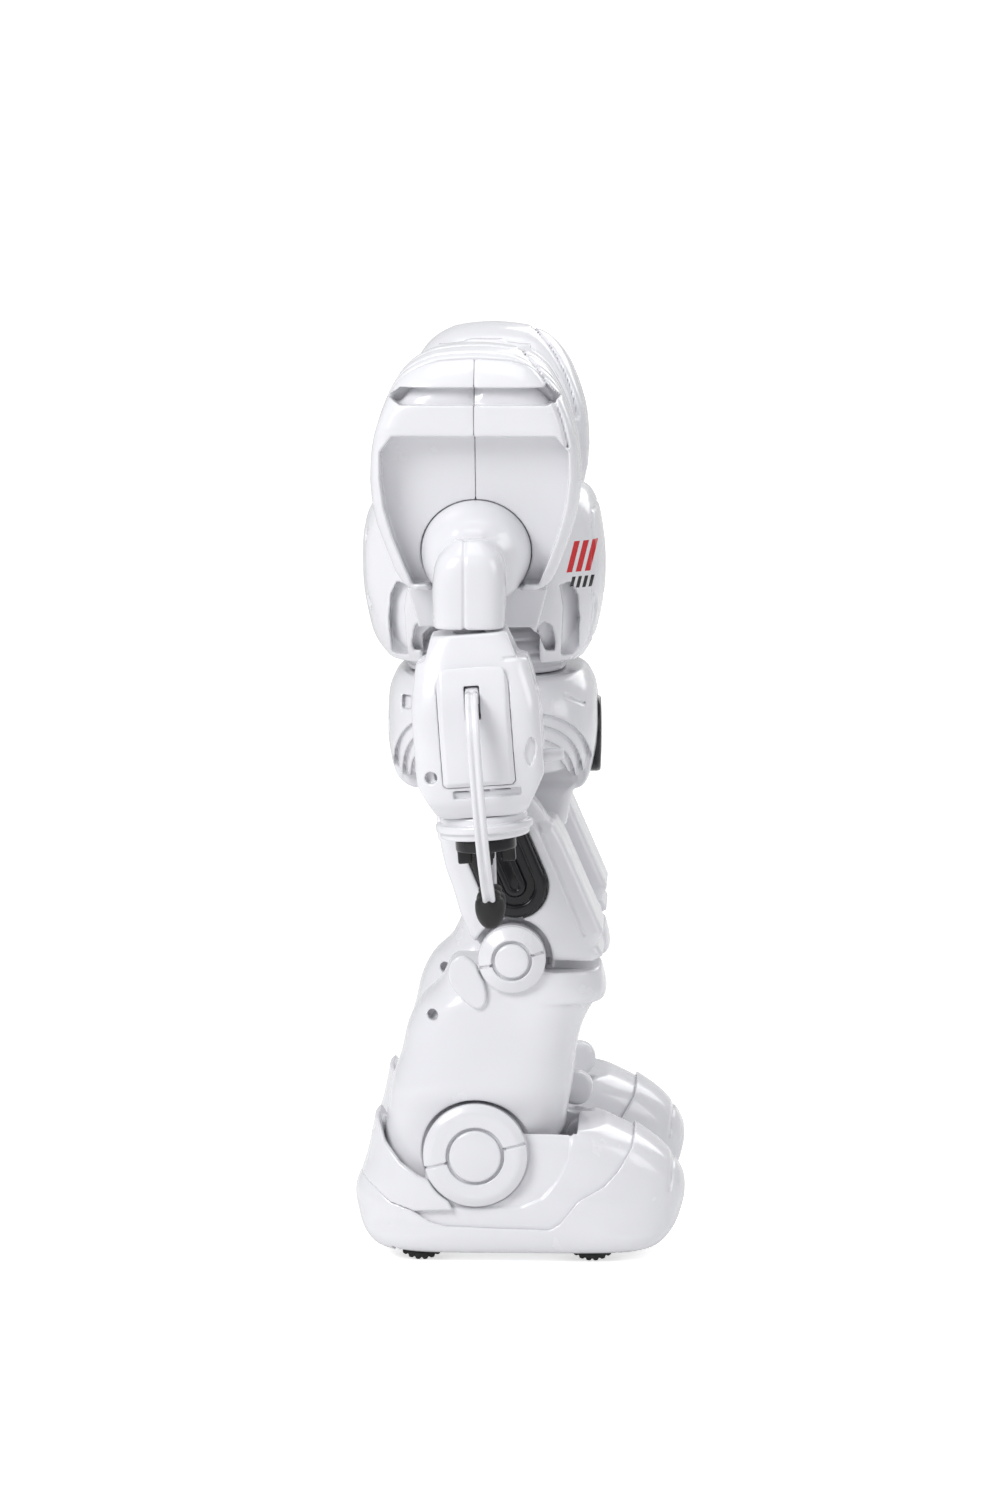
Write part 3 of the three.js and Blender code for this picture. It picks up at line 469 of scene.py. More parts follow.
def printed(base):
    """The chest's plastic with its printed marks."""
    material = base.copy()
    material.name = "white_gloss_printed"
    tree = material.node_tree
    body = tree.nodes["Principled BSDF"]
    tone = body.inputs["Base Color"].links[0].from_socket
    place = tree.nodes.new("ShaderNodeTexCoord")
    split = tree.nodes.new("ShaderNodeSeparateXYZ")
    tree.links.new(place.outputs["Object"], split.inputs[0])
    forward = maths(tree, "SUBTRACT", AXIS_Y / MM, split.outputs["Y"])
    up = maths(tree, "SUBTRACT", split.outputs["Z"], floor_of("chest_shell")[2] / MM)
    lean = maths(tree, "MULTIPLY_ADD", up, -MARK_SLANT, forward)
    corner = maths(tree, "GREATER_THAN", maths(tree, "ABSOLUTE", split.outputs["X"]), MARK_INNER)
    for first, spacing, width, count, low, high, colour in MARKS:
        middle = -MARK_SLANT * (low + high) / 2
        for i in range(count):
            start = first + middle + i * spacing
            bar = band(tree, lean, start, start + width)
            inside = maths(tree, "MULTIPLY", bar, band(tree, up, low, high))
            tone = mix(tree, maths(tree, "MULTIPLY", inside, corner), tone, colour)
    tree.links.new(tone, body.inputs["Base Color"])
    return material


def glowing(name, colour, strength):
    material, tree, body = shade(name)
    tune(body, {"Base Color": colour, "Roughness": 0.08, "Coat Weight": 1.0, "Emission Color": colour})
    spread = ramp(tree, noise(tree, 300.0, 2.0), strength * 0.8, strength * 1.2)
    tree.links.new(spread, body.inputs["Emission Strength"])
    return material


WHITE = plastic("white_gloss", (0.785, 0.785, 0.81), (0.75, 0.75, 0.78), 0.2, 0.4)
BLACK = plastic("black_gloss", (0.011, 0.011, 0.013), (0.017, 0.017, 0.019), 0.15, 0.15, ior=1.36)
RUBBER = plastic("satin_rubber", (0.019, 0.019, 0.020), (0.028, 0.028, 0.028), 0.48, 0.0, 0.3, 1.36)
DARK = plastic("matte_dark", (0.035, 0.037, 0.042), (0.05, 0.052, 0.056), 0.5, 0.0, 0.25)
BOARD = plastic("solder_mask", (0.02, 0.13, 0.05), (0.015, 0.10, 0.04), 0.35, 0.3)
PRINTED = printed(WHITE)
EYE = glowing("eye_glow", (0.25, 0.62, 1.0, 1), 2.2)


# ---------- Torso, measured from the chest's floor ----------
TORSO = [
    [0, -29, 31, 39, 3],
    [9.5, -36, 36.4, 45, 3.2],
    [21.5, -39, 39.2, 47.5, 3.4],
    [32.5, -40.2, 40, 48, 3.6],
    [44.5, -39.6, 38.8, 48, 3.6],
    [53.5, -36.5, 36.6, 45, 3.4],
    [58.5, -28, 32, 38, 3],
    [61.5, -18, 18, 24, 2.6],
]
TORSO_PLAN = [
    [48, -22], [48, 22], [31, 38.6], [14, 40.4], [-14, 40.4], [-31, 38.6],
    [-48, 22], [-48, -22], [-31, -38.6], [-14, -40.4], [14, -40.4], [31, -38.6],
]
WAIST_ROOM = [[-9, -27, 28.4, 36.6, 3.2], [9, -27, 28.4, 36.6, 3.2]]
SIDE_ARCH = [[-19, -9], [19, -9], [19, 12.5], [15.5, 16], [-15.5, 16], [-19, 12.5]]
SIDE_MIDDLE = 1.0  # the torso's sides are alike in front of and behind this
SIDE_CHANNEL = [[24.9, 5.5], [30.2, 5.5], [30.9, 18], [30.2, 25.7], [28, 30], [24.5, 29.2], [25.7, 22]]
SIDE_FIN = [[20, 7.5], [22.8, 7.5], [23.2, 10.5], [22, 16], [19.5, 17.5], [17.2, 15]]
CHEST_LINE = [[33, 4], [36.2, 14], [37, 19], [36, 26], [33, 31]]
CHEST_LINE_CORNERS = [[20, 31], [20, 4]]  # close the line's outline, out of sight behind it
CHEST_LINE_TOP = 26.0
CHEST_BADGE = [[-1, 22], [13, 22], [17, 30], [13, 38], [-1, 38]]
CHEST_PLATE = [[-1, 9], [20, 9], [29, 17], [33.5, 30], [31.5, 46], [24, 52], [-1, 52]]
BATTERY_BAY = [17, 17.5, 46.5]  # half width, lower edge, upper edge
DOOR_BACK = -36.9  # the door's inner face
BACK_SCREWS = ((28, 22), (28, 44))
SHAFT_HOLE = [0, 52]
SHAFT_HOLE_RADIUS = 9.0
NECK_HOLE_RADIUS = 9.5
CHANNEL_INNER = 30.0  # the side channels stay outside this distance from the robot's middle
CHANNEL_DEPTH = 4.0
CHANNEL_BACKING = 2.5  # the wall left round and behind a channel
TORSO_HEM = 3.0  # the torso ends this far up, clear of the waist


def torso_skin(v):
    return overlap(loft(v, TORSO, edge=3), polygon(v.x, v.f, TORSO_PLAN), 1.2)


def torso(v):
    """The hollow torso, before it is split into chest and back."""
    skin = torso_skin(v)
    out = v.out
    channel = union(*(polygon(np.abs(v.f - SIDE_MIDDLE), v.z, o) for o in (SIDE_CHANNEL, SIDE_FIN)))
    room = cut(skin + WALL, overlap(channel - CHANNEL_BACKING, past(out, CHANNEL_INNER - 6)), 1.0)
    body = cut(skin, union(room, loft(v, WAIST_ROOM), 1.0), 0.4)
    body = cut(body, overlap(polygon(v.f, v.z, SIDE_ARCH), past(out, 28)), 1.0)
    recess = overlap(overlap(channel, past(out, CHANNEL_INNER)), -(skin + CHANNEL_DEPTH))
    body = cut(body, recess, 0.5)
    body = cut(body, post(v, NECK_HOLE_RADIUS, 54, 70))
    body = overlap(body, past(v.z, TORSO_HEM), 0.6)
    return cut(body, disc(v, SHAFT_HOLE_RADIUS, -60, 60, at=SHAFT_HOLE))


def chest(g):
    v = g.seen_from(floor_of("chest_shell"))
    body = score(torso(v), polygon(v.out, v.z, CHEST_PLATE))
    body = score(body, polygon(v.out, v.z, CHEST_BADGE))
    side_line = polygon(v.f, v.z, CHEST_LINE + CHEST_LINE_CORNERS)
    front_corner = overlap(past(v.out, 24), past(v.f, 32.5))
    body = score(body, side_line, where=overlap(front_corner, short_of(v.z, CHEST_LINE_TOP)))
    return front_half(body, v)


def door_outline(v, grow):
    half, low, high = BATTERY_BAY
    return overlap(between(v.x, -half - grow, half + grow), between(v.z, low - grow, high + grow), 1)


def back(g):
    v = g.seen_from(floor_of("chest_shell"))
    body = cut(torso(v), overlap(door_outline(v, 0.4), short_of(v.f, -30)), 0.4)
    for x, z in BACK_SCREWS:
        body = sink(body, np.hypot(v.out - x, v.z - z) - 2.1, 2.0)
    return rear_half(body, v)


def battery_door(g):
    v = g.seen_from(floor_of("chest_shell"))
    door = overlap(overlap(torso_skin(v), door_outline(v, 0), 0.6), short_of(v.f, DOOR_BACK), 0.3)
    ridge = np.abs((v.z - 38.5 + 1.3) % 2.6 - 1.3) - 0.55
    grip = overlap(overlap(ridge, v.out - 7, 0.4), between(v.z, 33, 42))
    return sink(door, grip, 0.6, 0.3)


CELL_PITCH = 14.8
CELL_RADIUS = 7.2
CHIPS = ((-9, 20, 6, 6), (12, 10, 4, 7), (14, 25, 7, 3), (-14, 7, 5, 3))  # x, z, half width, half height


def battery_pack(g):
    """Two cells side by side in a tray."""
    v = g.seen_from([0, -24, floor_of("battery_pack")[2]])
    cells = np.hypot((v.x + CELL_PITCH / 2) % CELL_PITCH - CELL_PITCH / 2, v.f) - CELL_RADIUS
    cells = overlap(cells, v.out - CELL_PITCH - 0.1)
    body = overlap(cells, between(v.z, 0.2, 23.8), 0.8)
    return union(body, block(v, -14.5, 14.5, -4, 4, 1.5, 22.5), 1.0)


def circuit_board(g):
    v = g.seen_from([0, -12.4, floor_of("main_circuit_board")[2]])
    board = block(v, -26, 26, -1.6, 0, 0, 32, 0.3)
    for x, z, wide, tall in CHIPS:
        board = union(board, block(v, x - wide, x + wide, -0.2, 1.6, z - tall, z + tall, 0.4))
    holes = np.hypot(v.out - 23, np.abs(v.z - 16) - 13) - 1.3
    return cut(board, holes)


def speaker(g):
    v = g.seen_from([0, 26, floor_of("speaker")[2] + 12])
    r = np.hypot(v.x, v.z)
    basket = rod(v, 11.9, 3.2, 5.9, 0.8)
    magnet = rod(v, 7.5, 0.1, 4, 0.8)
    cone = overlap(r - 9.6, past(v.f, 3.6 + r * 0.18))
    body = union(union(basket, magnet), overlap(magnet, basket))
    return union(cut(body, cone, 0.4), rod(v, 3, 3, 5.2, 1.0), 0.4)


def shoulder_drive(g):
    v = g.seen_from([0, 0, floor_of("shoulder_drive")[2]])
    case = block(v, -20, 20, -9, 9, 0, 15, 1.8)
    case = score(case, v.x)
    shaft = disc(v, 4, -40, 40, 0.5, at=[0, 8.5])
    bearing = disc(v, 6, -24, 24, 0.8, at=[0, 8.5])
    return union(union(case, bearing, 0.6), shaft, 0.4)


def neck_post(g):
    v = g.seen_from(floor_of("neck_post"))
    body = union(post(v, 9, 0, 14, 0.8), post(v, 12, 13.5, 16, 0.8), 1.0)
    return cut(body, post(v, 5.5, -2, 18), 0.6)


# ---------- Head, measured from its lower edge ----------
HEAD = [
    [0, -17, 19, 17, 2.6],
    [5, -23.5, 24, 22.5, 2.6],
    [15, -27, 26.6, 25.5, 2.6],
    [26, -26.6, 25.4, 25.3, 2.6],
    [35, -22, 20.5, 21.5, 2.5],
    [40.5, -14, 13, 15, 2.4],
    [43, -6, 6, 7, 2.2],
]
FACE = [[-1, 6.5], [15, 6.5], [19, 11], [20.5, 24], [16, 29.5], [-1, 29.5]]
EYE_MIDDLE = [9, 18.5]
EYE_HALF = [4.5, 3.5]
HEAD_WALL = 4.5
VISOR_THICKNESS = 0.9
EAR = [1, 17]
EAR_RADIUS = 8.0
EAR_RING = 4.6


def face(v, grow=0.0):
    return overlap(polygon(v.out, v.z, FACE) - grow, past(v.f, 5))


def eye_shape(v, grow=0.0):
    """A lens with cut corners, on both sides of the face."""
    u = np.abs(v.out - EYE_MIDDLE[0]) - EYE_HALF[0]
    w = np.abs(v.z - EYE_MIDDLE[1]) - EYE_HALF[1]
    return overlap(overlap(u, w), (u + w + 1.5) / math.sqrt(2)) - grow


def head(g):
    v = g.seen_from(floor_of("head_shell"))
    skin = loft(v, HEAD, edge=2)
    crest = overlap(v.out - 4.5, past(v.z, 30.5))
    body = union(skin, overlap(overlap(skin - 1.0, crest, 1.2), past(v.f, -16), 1), 0.8)
    body = union(body, disc(v, EAR_RADIUS, -26.4, 26.4, 1.2, at=EAR), 1.0)
    ear_ring = np.abs(np.hypot(v.f - EAR[0], v.z - EAR[1]) - EAR_RING) - 0.5
    body = sink(body, overlap(ear_ring, past(v.out, 24)), 0.8)
    body = cut(body, overlap(face(v), -(skin + 1.9)), 0.8)
    body = score(body, v.z - 9, where=short_of(v.f, 8))
    return cut(cut(body, skin + HEAD_WALL), post(v, 10.5, -4, 10))


def visor(g):
    v = g.seen_from(floor_of("head_shell"))
    skin = loft(v, HEAD, edge=2)
    plate = cut(overlap(skin + 0.7, face(v, -0.4), 0.8), skin + 0.7 + VISOR_THICKNESS)
    return cut(plate, overlap(eye_shape(v, 0.35), past(v.f, 5)), 0.3)


def eye(g):
    v = g.seen_from(floor_of("head_shell"))
    skin = loft(v, HEAD, edge=2)
    lens = overlap(skin + 0.35, overlap(eye_shape(v), past(v.f, 5)), 0.9)
    return overlap(cut(lens, skin + 1.6), past(v.x, 0))


# ---------- Shoulder pads, measured from the shoulder ----------
PAD_EDGE = [
    [-1, -13.7], [19.5, -13.7], [23, -10.6], [25.4, -6.5], [28.4, 1.5], [31, 9], [32.5, 16],
]
PAD_EDGE_DOME = [
    [33, 23.2], [32.4, 32.5], [30.8, 40.5], [28.7, 47], [25.9, 53.3], [22.2, 59.2], [17.4, 64.2],
    [11.6, 67.6], [0, 69.6], [-11.6, 67.6],
]
PAD_SKIRT = [[-1, -12], [22.5, -12.5], [19, -25.5], [-1, -25.5]]
PAD_WINDOW = [
    [-1, -9.9], [19.8, -9.9], [22.4, -3.8], [26, 5.5], [28.5, 15], [29.6, 24.5],
    [29.4, 32.6], [25.6, 37.7], [-1, 37.7],
]
PAD_FRONT = [
    [-29.4, -8.5], [-26, -13.2], [-18, -13.7], [5, -13.7], [13, 12], [20, 34.4],
]
PAD_FRONT_DOME = [
    [21.2, 40], [21.6, 48], [19.8, 55.4], [15.6, 61.4], [8.2, 66.2], [-2, 69.2], [-12, 68.4], [-21, 63.4],
    [-27, 54.6], [-29.4, 43.5],
]
PAD_BROW = [[-1, 47.4], [23, 47.4], [26.8, 50.0], [23, 52.9], [-1, 52.9]]
BROW_DEPTH = 4.0
PAD_SEAM = -5.0  # the covers end this far inboard of the recess floor
PAD_ROUNDING = 7.0
CROWN_ROUNDING = 14.0
CROWN = [38, 16]  # the rounding grows from this height, over this distance
PAD_LINE_INSET = 2.8
PAD_BANDS = (4.5, 12)  # grooves round the housing, this far inboard of the covers
DOME_RADIUS = 17.3
SPINDLE_RADIUS = 6.0


def outboard(v):
    """How far out a point is from the recess floor, along the shoulder's axis."""
    return v.x * OUTWARD[0] + v.z * OUTWARD[2]


def from_shoulder_axis(v):
    return np.sqrt(np.maximum(v.x**2 + v.f**2 + v.z**2 - outboard(v) ** 2, 0))


def pad(v):
    """The whole pad, before it is split into two covers and the housing."""
    out = outboard(v)
    away = np.abs(v.f)
    profile = polygon(v.x, v.z, [*PAD_FRONT, *curve(PAD_FRONT_DOME, 50)])
    edge = polygon(away, v.z, [*PAD_EDGE, *curve(PAD_EDGE_DOME, 50)])
    crown = np.clip((v.z - CROWN[0]) / CROWN[1], 0, 1)
    body = (1 - crown) * overlap(edge, profile, PAD_ROUNDING)
    body = body + crown * overlap(edge, profile, CROWN_ROUNDING)
    window = overlap(polygon(away, v.z, PAD_WINDOW), past(out, 0), 0.4)
    body = cut(body, window, 0.8)
    body = sink(body, overlap(polygon(away, v.z, PAD_BROW), past(v.x, 10)), BROW_DEPTH, 0.3)
    front_top = overlap(past(v.f, 13), past(v.z, 34))
    body = score(body, edge + PAD_LINE_INSET, 1.0, where=front_top)
    hole = overlap(from_shoulder_axis(v) - DOME_RADIUS - 0.3, past(out, PAD_SEAM - 1))
    body = cut(body, hole, 0.4)
    return cut(body, from_shoulder_axis(v) - SPINDLE_RADIUS - 0.5)


def pad_cover(half):
    def field(g):
        v = g.seen_from(SHOULDER)
        return half(overlap(pad(v), past(outboard(v), PAD_SEAM), 0.6), v)

    return field


def pad_housing(g):
    v = g.seen_from(SHOULDER)
    skirt = overlap(polygon(np.abs(v.f), v.z, PAD_SKIRT), between(v.x, -22, -8), 1.0)
    body = union(pad(v), skirt, 0.8)
    body = overlap(body, short_of(outboard(v), PAD_SEAM - 0.5), 0.6)
    for inboard in PAD_BANDS:
        body = score(body, outboard(v) - PAD_SEAM + inboard)
    return cut(body, disc(v, 9, -40, -18, at=[0, 9]))


# ---------- Arms ----------
ARM_TUBE = [
    [0.9, -11.2, 11.0, 10.4, 3.4],
    [6, -11.4, 11.2, 10.8, 3.2],
    [16, -11.4, 11.4, 10.8, 3],
    [23, -9.8, 10.2, 9.8, 2.6],
    [28.4, -5, 5.8, 5.4, 2.2],
]


def upper_arm(g):
    v = g.seen_from(SHOULDER)
    out, r = outboard(v), from_shoulder_axis(v)
    dome = overlap(np.hypot(r, out) - DOME_RADIUS, past(out, -0.5), 0.5)
    body = union(dome, overlap(r - DOME_RADIUS, between(out, -4, 0.6), 0.6), 0.4)
    e = g.seen_from(ELBOW)
    tube = loft(e, ARM_TUBE, edge=1.0)
    tube = score(tube, e.f + 1.3, 0.6, where=past(e.x, 2))
    spindle = overlap(r - SPINDLE_RADIUS, between(out, -24, 0), 0.6)
    spigot = post(e, 4.8, -6.5, 3)
    return union(union(union(body, tube, 3.5), spindle), spigot)


FOREARM = [
    [-57.5, -14, 14, 13.5, 4],
    [-54.5, -18, 18, 15.8, 4],
    [-50, -20.6, 21, 17.8, 4.4],
    [-38, -20.8, 21.2, 19, 4.8],
    [-26, -20.8, 21.2, 18.8, 4.8],
    [-19, -20.2, 20.6, 17.8, 4.4],
    [-12.5, -19, 19, 16, 4],
    [-8, -17.6, 17.6, 14, 4],
    [-0.3, -12.6, 12.4, 11.2, 3.6],
]
FOREARM_SIDE = [
    [-11.8, 0], [11.6, 0], [14.2, -7.6], [17.4, -8.6], [20.4, -22], [20.4, -45], [14.4, -56], [12.6, -58],
    [-12.6, -58], [-14.4, -56], [-19.4, -46], [-19.4, -22], [-17.2, -8.6], [-14.2, -7.6],
]
COVER = [
    [-11, -46], [-10, -47], [10.5, -47], [11.5, -46], [11.5, -9.4], [10.5, -8.4], [-10, -8.4], [-11, -9.4],
]
COVER_RISE = 1.6  # how far the cover stands above the shell
FINGER_SLOT = [-2.4, 2.4, -26, -15.6]
FINGER_SPINE = [
    [16.2, -19], [22.5, -19.6], [26.5, -24], [29.2, -32],
    [29.8, -45], [26.6, -60], [19, -73], [6.0, -85.6],
]
PEG_DROP = -41
PEG_RADIUS = 2.05
ARM_SCREW = [-14.6, -43.5]
ARM_DIMPLE = [[15, -38], [16.6, -42], [18.6, -36], [17, -33]]
STRAP_HALF = 1.95  # half the thickness of a claw finger


def forearm_view(g):
    return g.seen_from(ELBOW, ARM_LEAN)


def forearm_shell(g):
    v = forearm_view(g)
    skin = overlap(loft(v, FOREARM, edge=1.0), polygon(v.f, v.z, FOREARM_SIDE), 0.5)
    bed = overlap(polygon(v.f, v.z, COVER) - 0.05, past(v.x, 16.2))
    body = cut(skin, bed)
    body = cut(body, block(v, 8, 20, -5, 5, -28, -12, 0.4))
    body = cut(body, block(v, -30, -10, *FINGER_SLOT, 0.4), 0.4)
    body = cut(body, rod(v, PEG_RADIUS + 0.55, 15, 40, at=[0, PEG_DROP]), 0.5)
    body = cut(body, post(v, 5.2, -12, 5))
    side = overlap(past(v.out, 8), past(v.z, -54))
    screw = np.hypot(v.f - ARM_SCREW[0], v.z - ARM_SCREW[1]) - 1.9
    body = sink(body, overlap(screw, side), 2.5)
    dimple = polygon(v.f, v.z, curve(ARM_DIMPLE, 24, closed=True))
    body = sink(body, overlap(dimple, side), 1.0)
    body = sink(body, overlap(between(v.z, -50.6, -48.2), between(v.f, -8, 13)), 1.6, 0.4)
    body = score(body, v.x, 0.6, where=past(np.abs(v.f), 14))
    return score(body, v.z + 8.4, 0.6, where=past(v.f, 10))


def forearm_cover(g):
    v = forearm_view(g)
    skin = loft(v, FOREARM, edge=1.0)
    outline = polygon(v.f, v.z, COVER)
    flange = overlap(overlap(skin - COVER_RISE, -(skin - 0.1)), outline - 0.8)
    plate = union(overlap(skin - COVER_RISE, outline + 0.05), flange)
    plate = overlap(plate, past(v.x, 16.4))
    plate = overlap(plate, 0.7 * (outline + 0.4) + 0.7 * (skin - 0.6), 0.3)
    plate = overlap(plate, (v.z + 15.5) * 0.34 + (v.x - 20.2) * 0.94, 0.3)
    return cut(plate, block(v, 10, 40, *FINGER_SLOT, 0.4), 0.4)


def wrist_collar(g):
    v = forearm_view(g)
    body = post(v, 13.7, -60.9, -57.7, 0.9)
    body = union(body, post(v, 15.4, -62.8, -60.2, 0.9), 0.3)
    body = union(body, post(v, 14.1, -65.0, -62.4, 1.0), 0.3)
    return score(body, v.f, 0.5)


def hand_hub(g):
    v = forearm_view(g)
    hub = post(v, 9.6, -69.4, -65.3, 0.8)
    turn = np.arctan2(v.f, v.x)
    r = np.hypot(v.x, v.f)
    prong = np.abs((turn + math.pi / 4) % (math.pi / 2) - math.pi / 4) * r - 2.2
    crown = overlap(overlap(between(r, 4.8, 9.2), prong, 0.5), between(v.z, -73.4, -68), 0.5)
    return cut(union(hub, crown, 0.4), post(v, 3, -80, -67.5, 0.4), 0.4)


def release_peg(g):
    v = forearm_view(g)
    peg = rod(v, PEG_RADIUS, 13, 26.6, 0.9, at=[0, PEG_DROP])
    return union(peg, rod(v, 3.4, 13, 15, at=[0, PEG_DROP]), 0.4)


def finger(way):
    """The outer claw finger when way is 1, the inner one when it is -1."""
    spine = curve(FINGER_SPINE, 40)

    def field(g):
        v = forearm_view(g)
        x = way * v.x
        nearest = np.inf
        for (x0, z0), (x1, z1) in zip(spine[:-1], spine[1:]):
            ex, ez = x1 - x0, z1 - z0
            t = np.clip(((x - x0) * ex + (v.z - z0) * ez) / (ex * ex + ez * ez), 0, 1)
            nearest = np.minimum(nearest, (x - x0 - t * ex) ** 2 + (v.z - z0 - t * ez) ** 2)
        side = np.sqrt(nearest)
        strap = overlap(side - STRAP_HALF, np.abs(v.f) - STRAP_HALF - 0.1, 1.2)
        strap = score(strap, v.f, 0.7, where=past(side, 1.0))
        knuckle = rod(v, 2.9, -2.1, 2.1, 0.7, at=[way * CLAW_REACH, -CLAW_DROP])
        pin = rod(v, 1.2, -4.1, 4.1, 0.3, at=[way * CLAW_REACH, -CLAW_DROP])
        return union(union(strap, knuckle, 0.6), pin)

    return field


def fingertip(way):
    def field(g):
        v = forearm_view(g)
        r = np.sqrt(((v.x - way * 5.3) / 4.4) ** 2 + (v.f / 4.7) ** 2 + ((v.z + 87.2) / 7) ** 2)
        tip = overlap((r - 1) * 4.4, short_of(v.z, -81.6), 0.8)
        return score(tip, v.z + 84, 0.5)

    return field


# ---------- Waist and pelvis, measured from the pelvis's hem ----------
HEM = [0.0, 0.0, HIP[2] - 8.0]
WAIST = [
    [35, -24, 26, 33, 3],
    [41, -25.6, 27.4, 35, 3.2],
    [47, -25.6, 27.2, 35, 3.2],
    [58, -22, 23, 30, 3],
]
PELVIS = [
    [0, -25.5, 33.4, 42, 3],
    [5, -29.5, 35.4, 45, 3.2],
    [15, -31.6, 37.4, 47, 3.4],
    [25, -31.8, 37.6, 47, 3.4],
    [33, -31.2, 36.6, 44.5, 3.2],
    [39, -28.6, 33.6, 39, 3],
]
CROTCH = [[-18, 1], [-12, -17], [14, -22], [27.4, -12], [30, 1.5]]
BELLY = [0, 15.9]
CATCH = [-25.8, -22.8, 28.4, 32.6]  # back, front, lower and upper edge of a square recess


def waist(g):
    v = g.seen_from(HEM)
    body = loft(v, WAIST, edge=0.8)
    body = score(body, (v.z - 40) % 4 - 2)
    return overlap(body, past(v.z, 39.4), 0.5)


ARCH_STEPS = [[32.8, 31.5], [29.6, 27.9], [27.0, 23.3], [25.2, 19.2]]  # half width and height of each
ARCH_FALL = 1.7  # each step is this much deeper than the one round it


def hip_arch(v, half, height):
    """A square-shouldered arch on the hip's side, standing just below the hem."""
    u = np.abs(v.f - 3.3) / half
    w = np.maximum(v.z + 3, 0) / height
    ring = np.maximum((u**3.5 + w**3.5) ** (1 / 3.5), 1e-3)
    return (ring - 1) * min(half, height)


def pelvis(v):
    """The whole pelvis, before it is split into front and rear."""
    out = v.out
    skin = loft(v, PELVIS, edge=2.0)
    body = skin
    for step, (half, height) in enumerate(ARCH_STEPS, start=1):
        arch = overlap(hip_arch(v, half, height), past(out, 20))
        body = cut(body, overlap(arch, -(skin + ARCH_FALL * step)), 0.7)
    body = union(body, side_prism(v, CROTCH, -22, 22, 4), 1.5)
    body = cut(body, rod(v, 13.1, 20, 60, at=BELLY), 0.5)
    return cut(body, disc(v, 4.5, -60, 60, at=[HIP[1], HIP[2] - HEM[2]]))


def pelvis_front(g):
    v = g.seen_from(HEM)
    groove = (v.z - 33.2) * 0.88 + (v.f - 26.8) * 0.46
    where = overlap(between(v.f, 26.5, 34), past(v.out, 22))
    return front_half(score(pelvis(v), groove, 1.0, where=where), v)


def pelvis_rear(g):
    v = g.seen_from(HEM)
    screws = overlap(np.hypot(v.out - 22, v.z - 21) - 2.2, short_of(v.f, -20))
    catch = overlap(between(v.f, *CATCH[:2]), between(v.z, *CATCH[2:]))
    catch = overlap(catch, past(v.out, 20))
    return rear_half(sink(sink(pelvis(v), screws, 2.4), catch, 2.0), v)


def belly_ring(g):
    v = g.seen_from(HEM)
    r = np.hypot(v.x, v.z - BELLY[1])
    ring = cut(rod(v, 12.7, 24, 38.6, 1.6, at=BELLY), overlap(r - 9, past(v.f, 33)), 0.8)
    ring = score(ring, r - 10.8, 0.6, where=past(v.f, 34))
    grille = overlap(np.abs((v.z - BELLY[1] + 1.1) % 2.2 - 1.1) - 0.5, r - 9.2)
    grille = overlap(grille, between(v.f, 31, 34.6), 0.3)
    return union(union(ring, grille, 0.3), rod(v, 3.6, 30, 36.8, 1.2, at=BELLY), 0.4)


# ---------- Thigh, measured from the knee ----------
THIGH_SIDE = [
    [-24, 44.1], [-23.2, 35.4], [-21.6, 28.5], [-19.3, 22.1], [-17, 14.1], [-13.6, 6.3], [-9, 1.1],
    [12.7, -1.4], [25.6, -1.6], [29.4, 0.4], [27.4, 3.8], [29.3, 8.2], [16.7, 37.1], [13, 43.5],
]
THIGH_EAR = [[-25.2, 52.1], [-24, 38.1], [15.6, 38.1], [8.4, 49.1], [-1, 60.1]]
PANEL_FOOT = [0.8, 23.4]
PANEL_LEAN = math.radians(23)
PANEL_LENGTH = 22.0
PANEL_RADIUS = 10.4
THIGH_INSIDE = -16.0  # from the middle of the leg to the thigh's inner face
THIGH_OUTSIDE = 20.0  # and to its outer face
KNEE_WELL = 12.8  # radius of the clearance round the knee's discs


def panel_distance(v):
    """Distance in the side view from the black inset's middle line."""
    df, dz = v.f - PANEL_FOOT[0], v.z - PANEL_FOOT[1]
    s, c = math.sin(PANEL_LEAN), math.cos(PANEL_LEAN)
    along = np.clip(dz * c - df * s, 0, PANEL_LENGTH)
    return np.hypot(df + along * s, dz - along * c)


def thigh(g):
    v = g.seen_from(KNEE)
    hip = [HIP[1] - KNEE[1], HIP[2] - KNEE[2]]
    body = side_prism(v, THIGH_SIDE, THIGH_INSIDE, THIGH_OUTSIDE, 4)
    ridge = v.f * 0.92 + v.z * 0.39 - 24.0
    body = score(body, ridge, where=past(v.z, 7))
    body = cut(body, overlap(past(v.z, 42.7), short_of(v.x, 4.6)), 0.8)
    body = cut(body, disc(v, KNEE_WELL, 13, 36), 0.8)
    body = cut(body, disc(v, KNEE_WELL, -44, -13.6), 0.8)
    ear = union(side_prism(v, THIGH_EAR, 5.4, 18, 1.6), disc(v, 12.4, 5.4, 18, 1.6, at=hip), 3)
    body = union(body, ear, 1.2)
    body = union(body, disc(v, KNUCKLE_RADIUS, -13, 12, 0.8), 0.5)
    body = union(body, disc(v, 4, -6.5, 8, at=hip))
    ring = np.hypot(v.f - hip[0], v.z - hip[1]) - 8
    body = score(body, ring, where=past(v.x, 16))
    body = cut(body, overlap(panel_distance(v) - PANEL_RADIUS - 0.4, past(v.x, 17)), 0.6)
    return cut(body, disc(v, 4, -24, 26))


